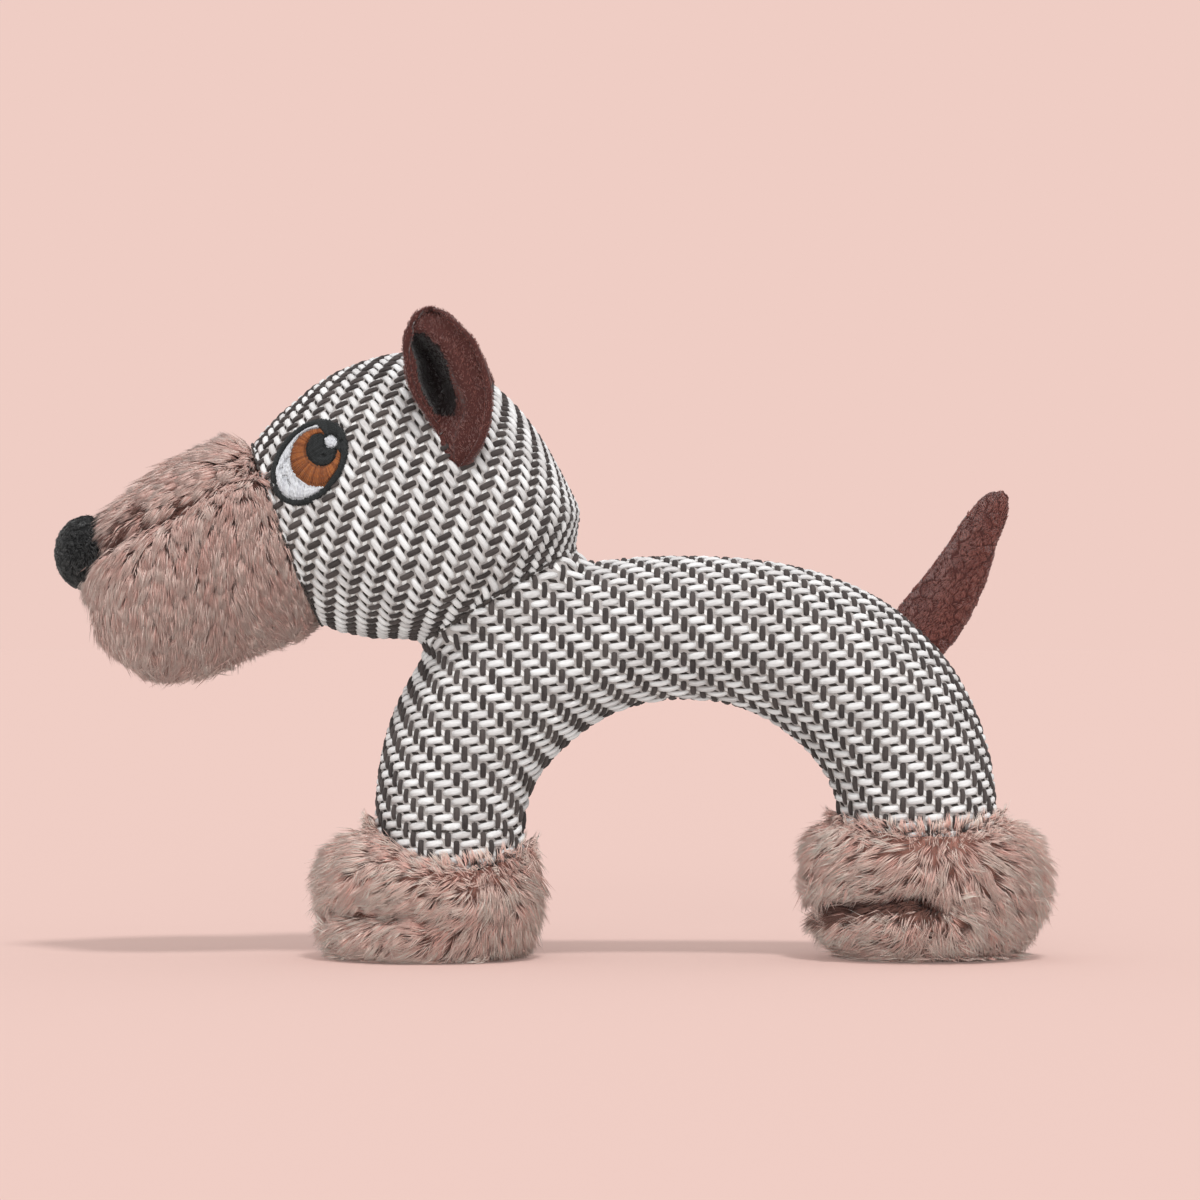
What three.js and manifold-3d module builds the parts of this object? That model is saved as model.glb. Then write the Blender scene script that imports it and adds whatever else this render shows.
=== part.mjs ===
import * as THREE from 'three';
import { mergeVertices } from 'three/addons/utils/BufferGeometryUtils.js';
import Module from 'manifold-3d';

const wasm = await Module();
wasm.setup();

// A stuffed dog toy, in millimetres: X runs from nose to tail, Y to the right side, Z up

// Cloth, thread and clearances
const TWEED = 1.6;
const VELVET = 1.4;
const PILE = 7;
const THREAD = 0.7;
const THREAD_CLEARANCE = 0.25;
const FIT = 0.4;
const GAP = 0.35;
const SEAM = THREAD + 2 * THREAD_CLEARANCE;
const SKIN = TWEED + FIT;
const FUR_SKIN = PILE + FIT;

// Body: one arched tube from the front foot to the rear foot
const LEG_SPAN = 121.4;
const LEG_SEAM_HEIGHT = 34;
const ARCH_RISE = 52;
const ARCH_SQUARENESS = 2.2;
const FRONT_LEG_RADIUS = 20.2;
const SHOULDER_RADIUS = 22.3;
const BACK_RADIUS = 19.4;
const RUMP_RADIUS = 22.2;
const HIND_LEG_RADIUS = 21.2;
const BODY_DEPTH = 1.05;

// Where the filling is packed in separate handfuls, in sixteenths of the arch
const ARCH_STEPS = 16;
const SHOULDER_FROM = 3 / ARCH_STEPS;
const BACK_FROM = 6 / ARCH_STEPS;
const BACK_TO = 10 / ARCH_STEPS;
const HIND_LEG_FROM = 13 / ARCH_STEPS;

// Neck: a flat oval seam that the head is sewn to
const NECK_AT = 0.3;
const NECK_REACH = 20.5;
const NECK_TILT = THREE.MathUtils.degToRad(31.5);
const NECK_LENGTH = 51;
const NECK_WIDTH = 48;
const NECK_DEPTH = 26;

// Feet: flat-bottomed fur balls
const FRONT_PAW_LENGTH = 62;
const FRONT_PAW_WIDTH = 57;
const FRONT_PAW_LEAD = -10;
const HIND_PAW_LENGTH = 67;
const HIND_PAW_WIDTH = 59;
const HIND_PAW_LEAD = 3.5;
const PAW_WIDEST_HEIGHT = 14.5;
const SOLE_MARGIN = 6;
const SOLE_THICKNESS = 5;

// Head: measured from the middle of the muzzle seam, along the line of the muzzle
const HEAD_TILT = THREE.MathUtils.degToRad(21);
const HEAD_LENGTH = 73.8;
const HEAD_HEIGHT = 76.4;
const HEAD_WIDTH = 64.4;
const HEAD_NECK_BACK = 45.6;
const HEAD_NECK_DROP = 34.4;

// Muzzle and nose
const MUZZLE_LENGTH = 55.6;
const MUZZLE_HEIGHT = 55.4;
const MUZZLE_WIDTH = 54;
const MUZZLE_CREASE_HEIGHT = 18.5;
const NOSE_FORWARD = 50.2;
const NOSE_UP = 14.2;
const NOSE_LENGTH = 18;
const NOSE_WIDTH = 25;
const NOSE_HEIGHT = 20.6;

// Eyes, embroidered on the head
const EYE_BACK = 13.3;
const EYE_UP = 14.2;
const EYE_LENGTH = 24;
const EYE_WIDTH = 17.2;
const EYE_TURN = THREE.MathUtils.degToRad(33);
const EYE_LINE = 1.5;
const EYE_LID = 7.8;
const EYE_LID_SLANT = THREE.MathUtils.degToRad(14.4);
const EYE_RAISE = 0.8;
const IRIS_RADIUS = 7.4;
const IRIS_SHIFT = 2.4;
const IRIS_DROP = 1.3;
const PUPIL_RADIUS = 4.1;
const PUPIL_SHIFT = 4.35;
const PUPIL_DROP = 0.7;
const GLINT_RADIUS = 1.65;
const GLINT_SHIFT = 7.45;
const GLINT_DROP = 1.6;

// Ears: cupped leaves that stand on the sides of the head
const EAR_BACK = 48;
const EAR_UP = 9;
const EAR_LENGTH = 33;
const EAR_WIDTH = 28;
const EAR_SINK = 7;
const EAR_LEAN = THREE.MathUtils.degToRad(6);
const EAR_OPEN_TURN = THREE.MathUtils.degToRad(52);
const EAR_SPLAY = THREE.MathUtils.degToRad(10);
const EAR_HINGE_SLOPE = THREE.MathUtils.degToRad(11);
const EAR_FLOP_OUT = THREE.MathUtils.degToRad(30);
const EAR_FLOP_IN = THREE.MathUtils.degToRad(-12);
const LINING_MARGIN = 1.6;

// Tail
const TAIL_AT = 0.769;
const TAIL_LENGTH = 41;
const TAIL_WIDTH = 17.5;
const TAIL_DEPTH = 10.5;
const TAIL_SINK = 3;
const TAIL_LEAN = THREE.MathUtils.degToRad(14);
const TAIL_WAG = THREE.MathUtils.degToRad(28);

// Squeaker, in the middle of the back
const SQUEAKER_AT = 0.52;
const SQUEAKER_PADDING = 5;
const SQUEAKER_HEIGHT = 12.5;
const SQUEAKER_RIM = 3;
const SQUEAKER_WALL = 1.2;
const SQUEAKER_FLOOR = 1.5;
const BELLOWS_WALL = 0.8;
const BELLOWS_FOLD = 2.6;
const HOLDER_RADIUS = 3.6;
const HOLDER_BORE = 2.4;
const HOLDER_HEIGHT = 4.6;
const REED_THICKNESS = 0.4;
const REED_HEIGHT = 3.6;

const SIDES = 20;
const REACH = 2 * (LEG_SPAN + HEAD_LENGTH + MUZZLE_LENGTH);
const X = new THREE.Vector3(1, 0, 0);
const Y = new THREE.Vector3(0, 1, 0);
const Z = new THREE.Vector3(0, 0, 1);

// Shapes

function ring(centre, u, v, ru, rv, sides = SIDES) {
  return Array.from({ length: sides }, (_, i) => {
    const angle = (2 * Math.PI * i) / sides;
    return centre
      .clone()
      .addScaledVector(u, ru * Math.cos(angle))
      .addScaledVector(v, rv * Math.sin(angle));
  });
}

function indexed(points, faces) {
  const geometry = new THREE.BufferGeometry();
  geometry.setAttribute('position', new THREE.Float32BufferAttribute(points.flatMap((p) => p.toArray()), 3));
  geometry.setIndex(faces.flat());
  return geometry;
}

// Walls from each ring to the next, with a fan over both ends unless the last ring joins the first
function loft(rings, closed = false) {
  const n = rings[0].length;
  const points = rings.flat();
  const faces = [];
  const spans = closed ? rings.length : rings.length - 1;
  for (let i = 0; i < spans; i++) {
    const next = (i + 1) % rings.length;
    for (let j = 0; j < n; j++) {
      const k = (j + 1) % n;
      faces.push([i * n + j, i * n + k, next * n + k]);
      faces.push([i * n + j, next * n + k, next * n + j]);
    }
  }
  if (!closed) {
    const last = (rings.length - 1) * n;
    const middle = (r) => r.reduce((sum, p) => sum.add(p), new THREE.Vector3()).divideScalar(n);
    points.push(middle(rings[0]), middle(rings.at(-1)));
    for (let j = 0; j < n; j++) {
      const k = (j + 1) % n;
      faces.push([points.length - 2, k, j]);
      faces.push([points.length - 1, last + j, last + k]);
    }
  }
  return indexed(points, faces);
}

function solid(geometry) {
  const bare = geometry.clone();
  bare.deleteAttribute('normal');
  bare.deleteAttribute('uv');
  const welded = mergeVertices(bare, 1e-4);
  const mesh = new wasm.Mesh({
    numProp: 3,
    vertProperties: new Float32Array(welded.attributes.position.array),
    triVerts: new Uint32Array(welded.index.array),
  });
  return new wasm.Manifold(mesh);
}

function geometryOf(body) {
  const mesh = body.getMesh();
  const geometry = new THREE.BufferGeometry();
  geometry.setAttribute('position', new THREE.Float32BufferAttribute(mesh.vertProperties, 3));
  geometry.setIndex(Array.from(mesh.triVerts));
  return geometry;
}

function mirrored(geometry) {
  const copy = geometry.clone().scale(1, -1, 1);
  const index = Array.from(copy.index.array);
  for (let i = 0; i < index.length; i += 3) {
    const first = index[i];
    index[i] = index[i + 1];
    index[i + 1] = first;
  }
  copy.setIndex(index);
  return copy;
}

// Everything on the side of a plane that its normal points to
function beyond(point, normal, offset = 0) {
  const box = new THREE.BoxGeometry(REACH, REACH, REACH).translate(0, 0, REACH / 2 + offset);
  box.applyQuaternion(new THREE.Quaternion().setFromUnitVectors(Z, normal));
  return solid(box.translate(point.x, point.y, point.z));
}

const ORIGIN = new THREE.Vector3();
const leftHalf = beyond(ORIGIN, Y.clone().negate(), SEAM / 2);
const rightHalf = beyond(ORIGIN, Y, SEAM / 2);

function closedThread(points, across) {
  const rings = points.map((p, i) => {
    const ahead = points[(i + 1) % points.length].clone().sub(points.at(i - 1)).normalize();
    return ring(p, across, ahead.clone().cross(across).normalize(), THREAD / 2, THREAD / 2, 5);
  });
  return loft(rings, true);
}

function openThread(points) {
  const curve = new THREE.CatmullRomCurve3(points);
  const shape = new THREE.Shape().absarc(0, 0, THREAD / 2, 0, 2 * Math.PI);
  return new THREE.ExtrudeGeometry(shape, { steps: points.length + 2, extrudePath: curve, curveSegments: 3 });
}

// Materials

function material(color, roughness) {
  return new THREE.MeshStandardMaterial({ color, roughness, metalness: 0 });
}

const tweed = material(0xa8a29d, 0.95);
const fur = material(0xb08f85, 0.95);
const velvet = material(0x6b423c, 0.9);
const blackPlush = material(0x262626, 0.95);
const blackThread = material(0x1c1f20, 0.8);
const whiteThread = material(0xe6e7ec, 0.8);
const brownThread = material(0x99552a, 0.75);
const seamThread = material(0x4a4340, 0.85);
const fibre = material(0xf2f0ea, 1);
const squeakerPlastic = material(0xe9e6dc, 0.5);
const reedPlastic = material(0xc9c4b4, 0.4);

const toy = new THREE.Group();

function add(group, name, shape, look) {
  const geometry = shape.isBufferGeometry ? shape : geometryOf(shape);
  const mesh = new THREE.Mesh(geometry, look);
  mesh.name = name;
  group.add(mesh);
}

// Body

class Arch extends THREE.Curve {
  getPoint(t, target = new THREE.Vector3()) {
    const angle = Math.PI * Math.min(Math.max(t, 0), 1);
    const power = 2 / ARCH_SQUARENESS;
    const along = Math.sign(Math.cos(angle)) * Math.abs(Math.cos(angle)) ** power;
    const up = Math.abs(Math.sin(angle)) ** power;
    return target.set((-LEG_SPAN / 2) * along, 0, LEG_SEAM_HEIGHT + ARCH_RISE * up);
  }
}

const arch = new Arch();
const girth = new THREE.SplineCurve(
  [FRONT_LEG_RADIUS, SHOULDER_RADIUS, BACK_RADIUS, RUMP_RADIUS, HIND_LEG_RADIUS].map(
    (radius, i) => new THREE.Vector2(i, radius),
  ),
);

function archOut(t) {
  if (t <= 0) return X.clone().negate();
  if (t >= 1) return X.clone();
  return arch.getTangent(t).cross(Y).normalize();
}

function archRing(t, inset, drop = 0) {
  const radius = girth.getPoint(t).y - inset;
  const centre = arch.getPoint(t).addScaledVector(Z, -drop);
  return ring(centre, archOut(t), Y.clone().negate(), radius, radius * BODY_DEPTH);
}

// Rings stand at every step of the arch between the two ends, so that a filling follows its cover
function archLoft(inset, from, to, drop = 0) {
  const steps = Array.from({ length: ARCH_STEPS + 1 }, (_, i) => i / ARCH_STEPS);
  const shares = [from, ...steps.filter((t) => t > from + 0.01 && t < to - 0.01), to];
  const rings = shares.map((t) => archRing(t, inset));
  if (drop) {
    rings.unshift(archRing(from, inset, drop));
    rings.push(archRing(to, inset, drop));
  }
  return solid(loft(rings));
}

const neckOut = new THREE.Vector3(-Math.sin(NECK_TILT), 0, Math.cos(NECK_TILT));
const neckFront = new THREE.Vector3(-Math.cos(NECK_TILT), 0, -Math.sin(NECK_TILT));
const neckCentre = arch.getPoint(NECK_AT).addScaledVector(neckOut, NECK_REACH);

function neckStub(inset, above = 0) {
  const top = neckCentre.clone().addScaledVector(neckOut, above);
  const foot = neckCentre.clone().addScaledVector(neckOut, -NECK_DEPTH);
  const footRadius = 0.82 * SHOULDER_RADIUS - inset;
  const side = Y.clone().negate();
  return solid(
    loft([
      ring(foot, neckFront, side, footRadius, footRadius),
      ring(neckCentre, neckFront, side, NECK_LENGTH / 2 - inset, NECK_WIDTH / 2 - inset),
      ring(top, neckFront, side, NECK_LENGTH / 2 - inset, NECK_WIDTH / 2 - inset),
    ]),
  );
}

const aboveNeck = beyond(neckCentre, neckOut, -SEAM / 2);
const belowSeam = beyond(new THREE.Vector3(0, 0, LEG_SEAM_HEIGHT + SEAM / 2), Z.clone().negate());
const bodyForm = archLoft(0, 0, 1).add(neckStub(0, SEAM));
const bodyHollow = archLoft(TWEED, 0, 1, SEAM + TWEED).add(neckStub(TWEED, 2 * SEAM));
const bodyShell = bodyForm.subtract(bodyHollow).subtract(aboveNeck).subtract(belowSeam);
add(toy, 'body_panel_left', bodyShell.intersect(leftHalf), tweed);
add(toy, 'body_panel_right', bodyShell.intersect(rightHalf), tweed);

// Seam threads of the body lie between the edges of the two panels

function seamPoint(t, side) {
  return arch.getPoint(t).addScaledVector(archOut(t), side * (girth.getPoint(t).y - TWEED / 2));
}

function seamRun(from, to, side, count) {
  return Array.from({ length: count + 1 }, (_, i) => seamPoint(from + ((to - from) * i) / count, side));
}

function clearOfNeck(from, to) {
  const steps = 200;
  let last = from;
  for (let i = 1; i <= steps; i++) {
    const t = from + ((to - from) * i) / steps;
    const rel = seamPoint(t, 1).sub(neckCentre);
    const along = Math.abs(rel.dot(neckFront));
    if (along < NECK_LENGTH / 2 + THREAD) break;
    last = t;
  }
  return last;
}

const seamStart = 0.035;
add(toy, 'belly_thread', openThread(seamRun(seamStart, 1 - seamStart, -1, 16)), seamThread);
add(toy, 'spine_thread', openThread(seamRun(1 - seamStart, clearOfNeck(1, NECK_AT), 1, 12)), seamThread);
add(toy, 'chest_thread', openThread(seamRun(seamStart, clearOfNeck(0, NECK_AT), 1, 5)), seamThread);
add(
  toy,
  'neck_thread',
  closedThread(
    ring(neckCentre, neckFront, Y, NECK_LENGTH / 2 - TWEED / 2, NECK_WIDTH / 2 - TWEED / 2, 22),
    neckOut,
  ),
  seamThread,
);

// Filling of the body

const spread = GAP / arch.getLength();
const footStart = SEAM / arch.getLength();
const frontLeg = archLoft(SKIN, footStart, SHOULDER_FROM - spread);
const shoulder = archLoft(SKIN, SHOULDER_FROM + spread, BACK_FROM - spread)
  .add(neckStub(SKIN, SEAM))
  .subtract(aboveNeck)
  .subtract(archLoft(SKIN - GAP, footStart, SHOULDER_FROM + spread))
  .subtract(archLoft(SKIN - GAP, BACK_FROM - spread, BACK_TO));
const back = archLoft(SKIN, BACK_FROM + spread, BACK_TO - spread);
const rump = archLoft(SKIN, BACK_TO + spread, HIND_LEG_FROM - spread);
const hindLeg = archLoft(SKIN, HIND_LEG_FROM + spread, 1 - footStart);

const squeakerCentre = arch.getPoint(SQUEAKER_AT);
const squeakerRadius = BACK_RADIUS - SKIN - SQUEAKER_PADDING;
const pocket = solid(
  new THREE.CylinderGeometry(squeakerRadius + FIT, squeakerRadius + FIT, SQUEAKER_HEIGHT + 2 * FIT, 18)
    .rotateX(Math.PI / 2)
    .translate(squeakerCentre.x, 0, squeakerCentre.z),
);
const topHalf = beyond(squeakerCentre, Z, GAP / 2);
const lowHalf = beyond(squeakerCentre, Z.clone().negate(), GAP / 2);

add(toy, 'front_leg_filling', frontLeg, fibre);
add(toy, 'shoulder_filling', shoulder, fibre);
add(toy, 'back_filling_upper', back.subtract(pocket).intersect(topHalf), fibre);
add(toy, 'back_filling_lower', back.subtract(pocket).intersect(lowHalf), fibre);
add(toy, 'rump_filling', rump, fibre);
add(toy, 'hind_leg_filling', hindLeg, fibre);

// Squeaker: a bellows between a base and a cap, with a reed in the base

const squeaker = new THREE.Group();
squeaker.position.set(squeakerCentre.x, 0, squeakerCentre.z - SQUEAKER_HEIGHT / 2);
toy.add(squeaker);

function turned(points, sides = 18) {
  const profile = points.map(([r, z]) => new THREE.Vector2(r, z));
  return new THREE.LatheGeometry(profile, sides).rotateX(Math.PI / 2);
}

const holderHole = HOLDER_RADIUS + GAP / 2;
const bellowsOuter = squeakerRadius - BELLOWS_WALL / 2;
const bellowsLow = SQUEAKER_RIM + GAP;
const bellowsHigh = SQUEAKER_HEIGHT - SQUEAKER_RIM - GAP;
const folds = [0, 1, 2, 3, 4].map((i) => [
  bellowsOuter - (i % 2) * BELLOWS_FOLD,
  bellowsLow + ((bellowsHigh - bellowsLow) * i) / 4,
]);
const insideFolds = folds.map(([r, z]) => [r - 2 * BELLOWS_WALL, z]).reverse();
add(
  squeaker,
  'squeaker_base',
  turned([
    [holderHole, 0],
    [squeakerRadius, 0],
    [squeakerRadius, SQUEAKER_RIM],
    [squeakerRadius - SQUEAKER_WALL, SQUEAKER_RIM],
    [squeakerRadius - SQUEAKER_WALL, SQUEAKER_FLOOR],
    [holderHole, SQUEAKER_FLOOR],
    [holderHole, 0],
  ]),
  squeakerPlastic,
);
add(squeaker, 'squeaker_bellows', turned([...folds, ...insideFolds, folds[0]]), squeakerPlastic);
add(
  squeaker,
  'squeaker_cap',
  turned([
    [0, SQUEAKER_HEIGHT - SQUEAKER_FLOOR],
    [squeakerRadius - SQUEAKER_WALL, SQUEAKER_HEIGHT - SQUEAKER_FLOOR],
    [squeakerRadius - SQUEAKER_WALL, SQUEAKER_HEIGHT - SQUEAKER_RIM],
    [squeakerRadius, SQUEAKER_HEIGHT - SQUEAKER_RIM],
    [squeakerRadius, SQUEAKER_HEIGHT],
    [0, SQUEAKER_HEIGHT],
  ]),
  squeakerPlastic,
);
add(
  squeaker,
  'squeaker_reed_holder',
  turned([
    [HOLDER_BORE, 0],
    [HOLDER_RADIUS, 0],
    [HOLDER_RADIUS, HOLDER_HEIGHT],
    [HOLDER_BORE, HOLDER_HEIGHT],
    [HOLDER_BORE, 0],
  ]),
  reedPlastic,
);
add(
  squeaker,
  'squeaker_reed',
  new THREE.BoxGeometry(REED_THICKNESS, 2 * (HOLDER_BORE - GAP), REED_HEIGHT).translate(0, 0, HOLDER_HEIGHT / 2),
  reedPlastic,
);

// Feet

function foot(name, at, length, width, legRadius, lead) {
  const half = length / 2;
  const top = LEG_SEAM_HEIGHT - SEAM / 2;
  const rise = top - PAW_WIDEST_HEIGHT;
  const tall = rise / Math.sqrt(1 - (legRadius / half) ** 2);
  const centre = arch.getPoint(at);
  const ball = (inset) => {
    const form = new THREE.SphereGeometry(1, SIDES, 10).rotateX(Math.PI / 2);
    form.scale(half - inset, width / 2 - inset, tall - inset).translate(0, 0, PAW_WIDEST_HEIGHT);
    const p = form.attributes.position;
    for (let i = 0; i < p.count; i++) {
      p.setX(i, p.getX(i) + lead * (1 - p.getZ(i) / LEG_SEAM_HEIGHT));
    }
    return solid(form.translate(centre.x, 0, 0));
  };
  const column = (rx, ry, from, to, shift) =>
    solid(
      new THREE.CylinderGeometry(1, 1, to - from, SIDES)
        .rotateX(Math.PI / 2)
        .scale(rx, ry, 1)
        .translate(centre.x + shift, 0, (from + to) / 2),
    );
  const level = Math.sqrt(1 - (PAW_WIDEST_HEIGHT / tall) ** 2);
  const soleX = half * level - SOLE_MARGIN;
  const soleY = (width / 2) * level - SOLE_MARGIN;
  const soleSpace = column(soleX + GAP, soleY + GAP, -SOLE_THICKNESS, SOLE_THICKNESS + GAP, lead);
  const legHole = column(legRadius - TWEED, BODY_DEPTH * legRadius - TWEED, top - PILE, top + PILE, 0);
  const floor = beyond(ORIGIN, Z);
  const underSeam = beyond(new THREE.Vector3(0, 0, top), Z.clone().negate());
  const cover = ball(0).subtract(ball(PILE)).intersect(floor).intersect(underSeam).subtract(soleSpace).subtract(legHole);
  const filling = ball(FUR_SKIN).intersect(beyond(ORIGIN, Z, SOLE_THICKNESS + FIT)).intersect(underSeam);
  add(toy, `${name}_cover`, cover, fur);
  add(toy, `${name}_sole`, column(soleX, soleY, 0, SOLE_THICKNESS, lead), fur);
  add(toy, `${name}_filling`, filling, fibre);
  const line = centre.clone();
  const seamRadius = legRadius - TWEED / 2;
  add(toy, `${name}_thread`, closedThread(ring(line, X, Y, seamRadius, BODY_DEPTH * seamRadius, 22), Z), seamThread);
}

foot('front_paw', 0, FRONT_PAW_LENGTH, FRONT_PAW_WIDTH, FRONT_LEG_RADIUS, FRONT_PAW_LEAD);
foot('rear_paw', 1, HIND_PAW_LENGTH, HIND_PAW_WIDTH, HIND_LEG_RADIUS, HIND_PAW_LEAD);

// Tail: two velvet panels over fibre, free to wag about the line of the spine

const tailOut = archOut(TAIL_AT);
const tailAlong = arch.getTangent(TAIL_AT).normalize();
const tailRoot = arch.getPoint(TAIL_AT).addScaledVector(tailOut, girth.getPoint(TAIL_AT).y);

function tailForm(inset) {
  const shares = [
    [0, 1, 1],
    [0.2, 1, 1],
    [0.42, 0.9, 0.95],
    [0.64, 0.74, 0.84],
    [0.82, 0.58, 0.7],
    [0.93, 0.44, 0.54],
    [0.985, 0.22, 0.26],
  ];
  const length = TAIL_LENGTH + TAIL_SINK - inset;
  const rings = shares.map(([share, wide, deep]) => {
    const s = share * length - TAIL_SINK;
    const lean = TAIL_LEAN * Math.min(1, Math.max(0, s / TAIL_LENGTH + 0.3));
    const up = tailOut.clone().applyAxisAngle(Y, -lean);
    const across = tailAlong.clone().applyAxisAngle(Y, -lean);
    const centre = tailRoot.clone().addScaledVector(up, s);
    return ring(centre, across, Y, Math.max((TAIL_WIDTH / 2) * wide - inset, 0.4), Math.max((TAIL_DEPTH / 2) * deep - inset, 0.4), 16);
  });
  return solid(loft(flipTo(rings)));
}

// A loft's rings run anticlockwise about the way it goes
function flipTo(rings) {
  const ahead = rings.at(-1)[0].clone().add(rings.at(-1)[8]).sub(rings[0][0]).sub(rings[0][8]);
  const turn = rings[0][0].clone().sub(rings[0][8]).cross(rings[0][4].clone().sub(rings[0][12]));
  return turn.dot(ahead) > 0 ? rings : rings.map((r) => r.slice().reverse());
}

function swung(geometry, point, axis, angle) {
  return geometry
    .clone()
    .translate(-point.x, -point.y, -point.z)
    .applyQuaternion(new THREE.Quaternion().setFromAxisAngle(axis, angle))
    .translate(point.x, point.y, point.z);
}

const bodyRoom = geometryOf(archLoft(-GAP, 0.5, 1));
const tailHinge = tailRoot.clone().addScaledVector(tailOut, GAP);

function clearOfBody(body) {
  const swings = [-TAIL_WAG, 0, TAIL_WAG];
  return swings.reduce((left, angle) => left.subtract(solid(swung(bodyRoom, tailHinge, tailAlong, angle))), body);
}

const tailShell = tailForm(0).subtract(tailForm(VELVET));
add(toy, 'tail_panel_left', clearOfBody(tailShell.intersect(leftHalf)), velvet);
add(toy, 'tail_panel_right', clearOfBody(tailShell.intersect(rightHalf)), velvet);
add(toy, 'tail_filling', clearOfBody(tailForm(VELVET + FIT)), fibre);

// Head, built along the line of the muzzle and turned down with its own group

const head = new THREE.Group();
head.rotation.y = -HEAD_TILT;
const neckInHead = new THREE.Vector3(HEAD_NECK_BACK, 0, -HEAD_NECK_DROP);
head.position.copy(neckCentre).sub(neckInHead.clone().applyEuler(head.rotation));
head.updateMatrix();
toy.add(head);

const toHead = head.matrix.clone().invert();
const neckOutInHead = neckOut.clone().transformDirection(toHead);
const underNeck = beyond(neckInHead, neckOutInHead.clone().negate(), -SEAM / 2);

// Each section: share of the length, rise of the middle, height and width, as shares of the half sizes
const HEAD_SECTIONS = [
  [0, 0, 0.686, 0.745],
  [0.07, -0.004, 0.77, 0.81],
  [0.15, -0.008, 0.85, 0.875],
  [0.352, -0.13, 1.09, 0.985],
  [0.599, -0.21, 1.145, 1],
  [0.775, -0.25, 1.025, 0.93],
  [0.898, -0.34, 0.757, 0.72],
  [0.965, -0.47, 0.5, 0.5],
  [1, -0.58, 0.18, 0.2],
];

const MUZZLE_SECTIONS = [
  [0, 0, 0.885, 0.86],
  [0.09, 0.036, 1, 0.97],
  [0.36, 0.06, 1, 1],
  [0.61, -0.01, 0.95, 0.98],
  [0.81, -0.036, 0.816, 0.85],
  [0.935, -0.09, 0.523, 0.56],
  [1, -0.18, 0.14, 0.15],
];

function sections(table, length, height, width, inset, way, open) {
  const side = Y.clone().multiplyScalar(-way);
  const at = ([share, rise, tall, wide], shift = 0) =>
    ring(
      new THREE.Vector3(way * (share * (length - inset) + shift), 0, (rise * height) / 2),
      Z,
      side,
      Math.max((tall * height) / 2 - inset, 0.4),
      Math.max((wide * width) / 2 - inset, 0.4),
    );
  const rings = table.map((row) => at(row));
  if (open) rings.unshift(at(table[0], -open));
  return solid(loft(rings));
}

const headForm = (inset, open = 0) => sections(HEAD_SECTIONS, HEAD_LENGTH, HEAD_HEIGHT, HEAD_WIDTH, inset, 1, open);
const muzzleForm = (inset, open = 0) =>
  sections(MUZZLE_SECTIONS, MUZZLE_LENGTH, MUZZLE_HEIGHT, MUZZLE_WIDTH, inset, -1, open);

const behindSeam = beyond(ORIGIN, X, SEAM / 2);
const aheadOfSeam = beyond(ORIGIN, X.clone().negate(), SEAM / 2);
const headShell = headForm(0).subtract(headForm(TWEED, SEAM)).intersect(behindSeam).subtract(underNeck);
add(head, 'head_panel_left', headShell.intersect(leftHalf), tweed);
add(head, 'head_panel_right', headShell.intersect(rightHalf), tweed);
add(head, 'head_filling', headForm(SKIN).intersect(behindSeam).subtract(underNeck), fibre);

// The edge of the head's panels over the crown or under the chin, begun just behind the muzzle seam
function headEdge(rows, side) {
  const start = (2 * SEAM) / (HEAD_SECTIONS[1][0] * HEAD_LENGTH);
  const first = rows[0].map((value, i) => value + start * (rows[1][i] - value));
  return [first, ...rows.slice(1)].map(
    ([share, rise, tall]) =>
      new THREE.Vector3(
        share * (HEAD_LENGTH - TWEED / 2),
        0,
        (rise * HEAD_HEIGHT) / 2 + side * ((tall * HEAD_HEIGHT) / 2 - TWEED / 2),
      ),
  );
}

const crown = headEdge(HEAD_SECTIONS.slice(0, -1), 1);
const chin = headEdge(HEAD_SECTIONS.slice(0, 3), -1);
add(head, 'crown_thread', openThread(crown), seamThread);
add(head, 'chin_thread', openThread(chin), seamThread);
const seamHalf = (share, size) => (share * size) / 2 - TWEED / 2;
add(
  head,
  'muzzle_thread',
  closedThread(
    ring(ORIGIN, Z, Y, seamHalf(HEAD_SECTIONS[0][2], HEAD_HEIGHT), seamHalf(HEAD_SECTIONS[0][3], HEAD_WIDTH), 22),
    X,
  ),
  seamThread,
);

// Muzzle

const muzzleShell = muzzleForm(0).subtract(muzzleForm(PILE, SEAM)).intersect(aheadOfSeam);
const crease = new THREE.Vector3(0, 0, MUZZLE_CREASE_HEIGHT);
const cheeks = muzzleShell.intersect(beyond(crease, Z.clone().negate(), GAP / 2));
add(head, 'muzzle_top_panel', muzzleShell.intersect(beyond(crease, Z, GAP / 2)), fur);
add(head, 'muzzle_cheek_left', cheeks.intersect(leftHalf), fur);
add(head, 'muzzle_cheek_right', cheeks.intersect(rightHalf), fur);
add(head, 'muzzle_filling', muzzleForm(FUR_SKIN).intersect(aheadOfSeam), fibre);

// Nose: an upright oval pad on the end of the muzzle

const muzzleRoom = muzzleForm(-GAP, SEAM);

function nosePad(inset) {
  return solid(
    new THREE.SphereGeometry(1, 14, 8)
      .rotateX(Math.PI / 2)
      .scale(NOSE_LENGTH / 2 - inset, NOSE_WIDTH / 2 - inset, NOSE_HEIGHT / 2 - inset)
      .rotateY(HEAD_TILT)
      .translate(-NOSE_FORWARD, 0, NOSE_UP),
  );
}

add(head, 'nose_cover', nosePad(0).subtract(nosePad(VELVET)).subtract(muzzleRoom), blackPlush);
add(head, 'nose_filling', nosePad(VELVET + FIT).subtract(muzzleRoom), fibre);

// Eyes: thread filled in over the cloth of the head

const eyeLayer = headForm(-GAP - EYE_RAISE, SEAM).subtract(headForm(-GAP, 2 * SEAM));

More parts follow.
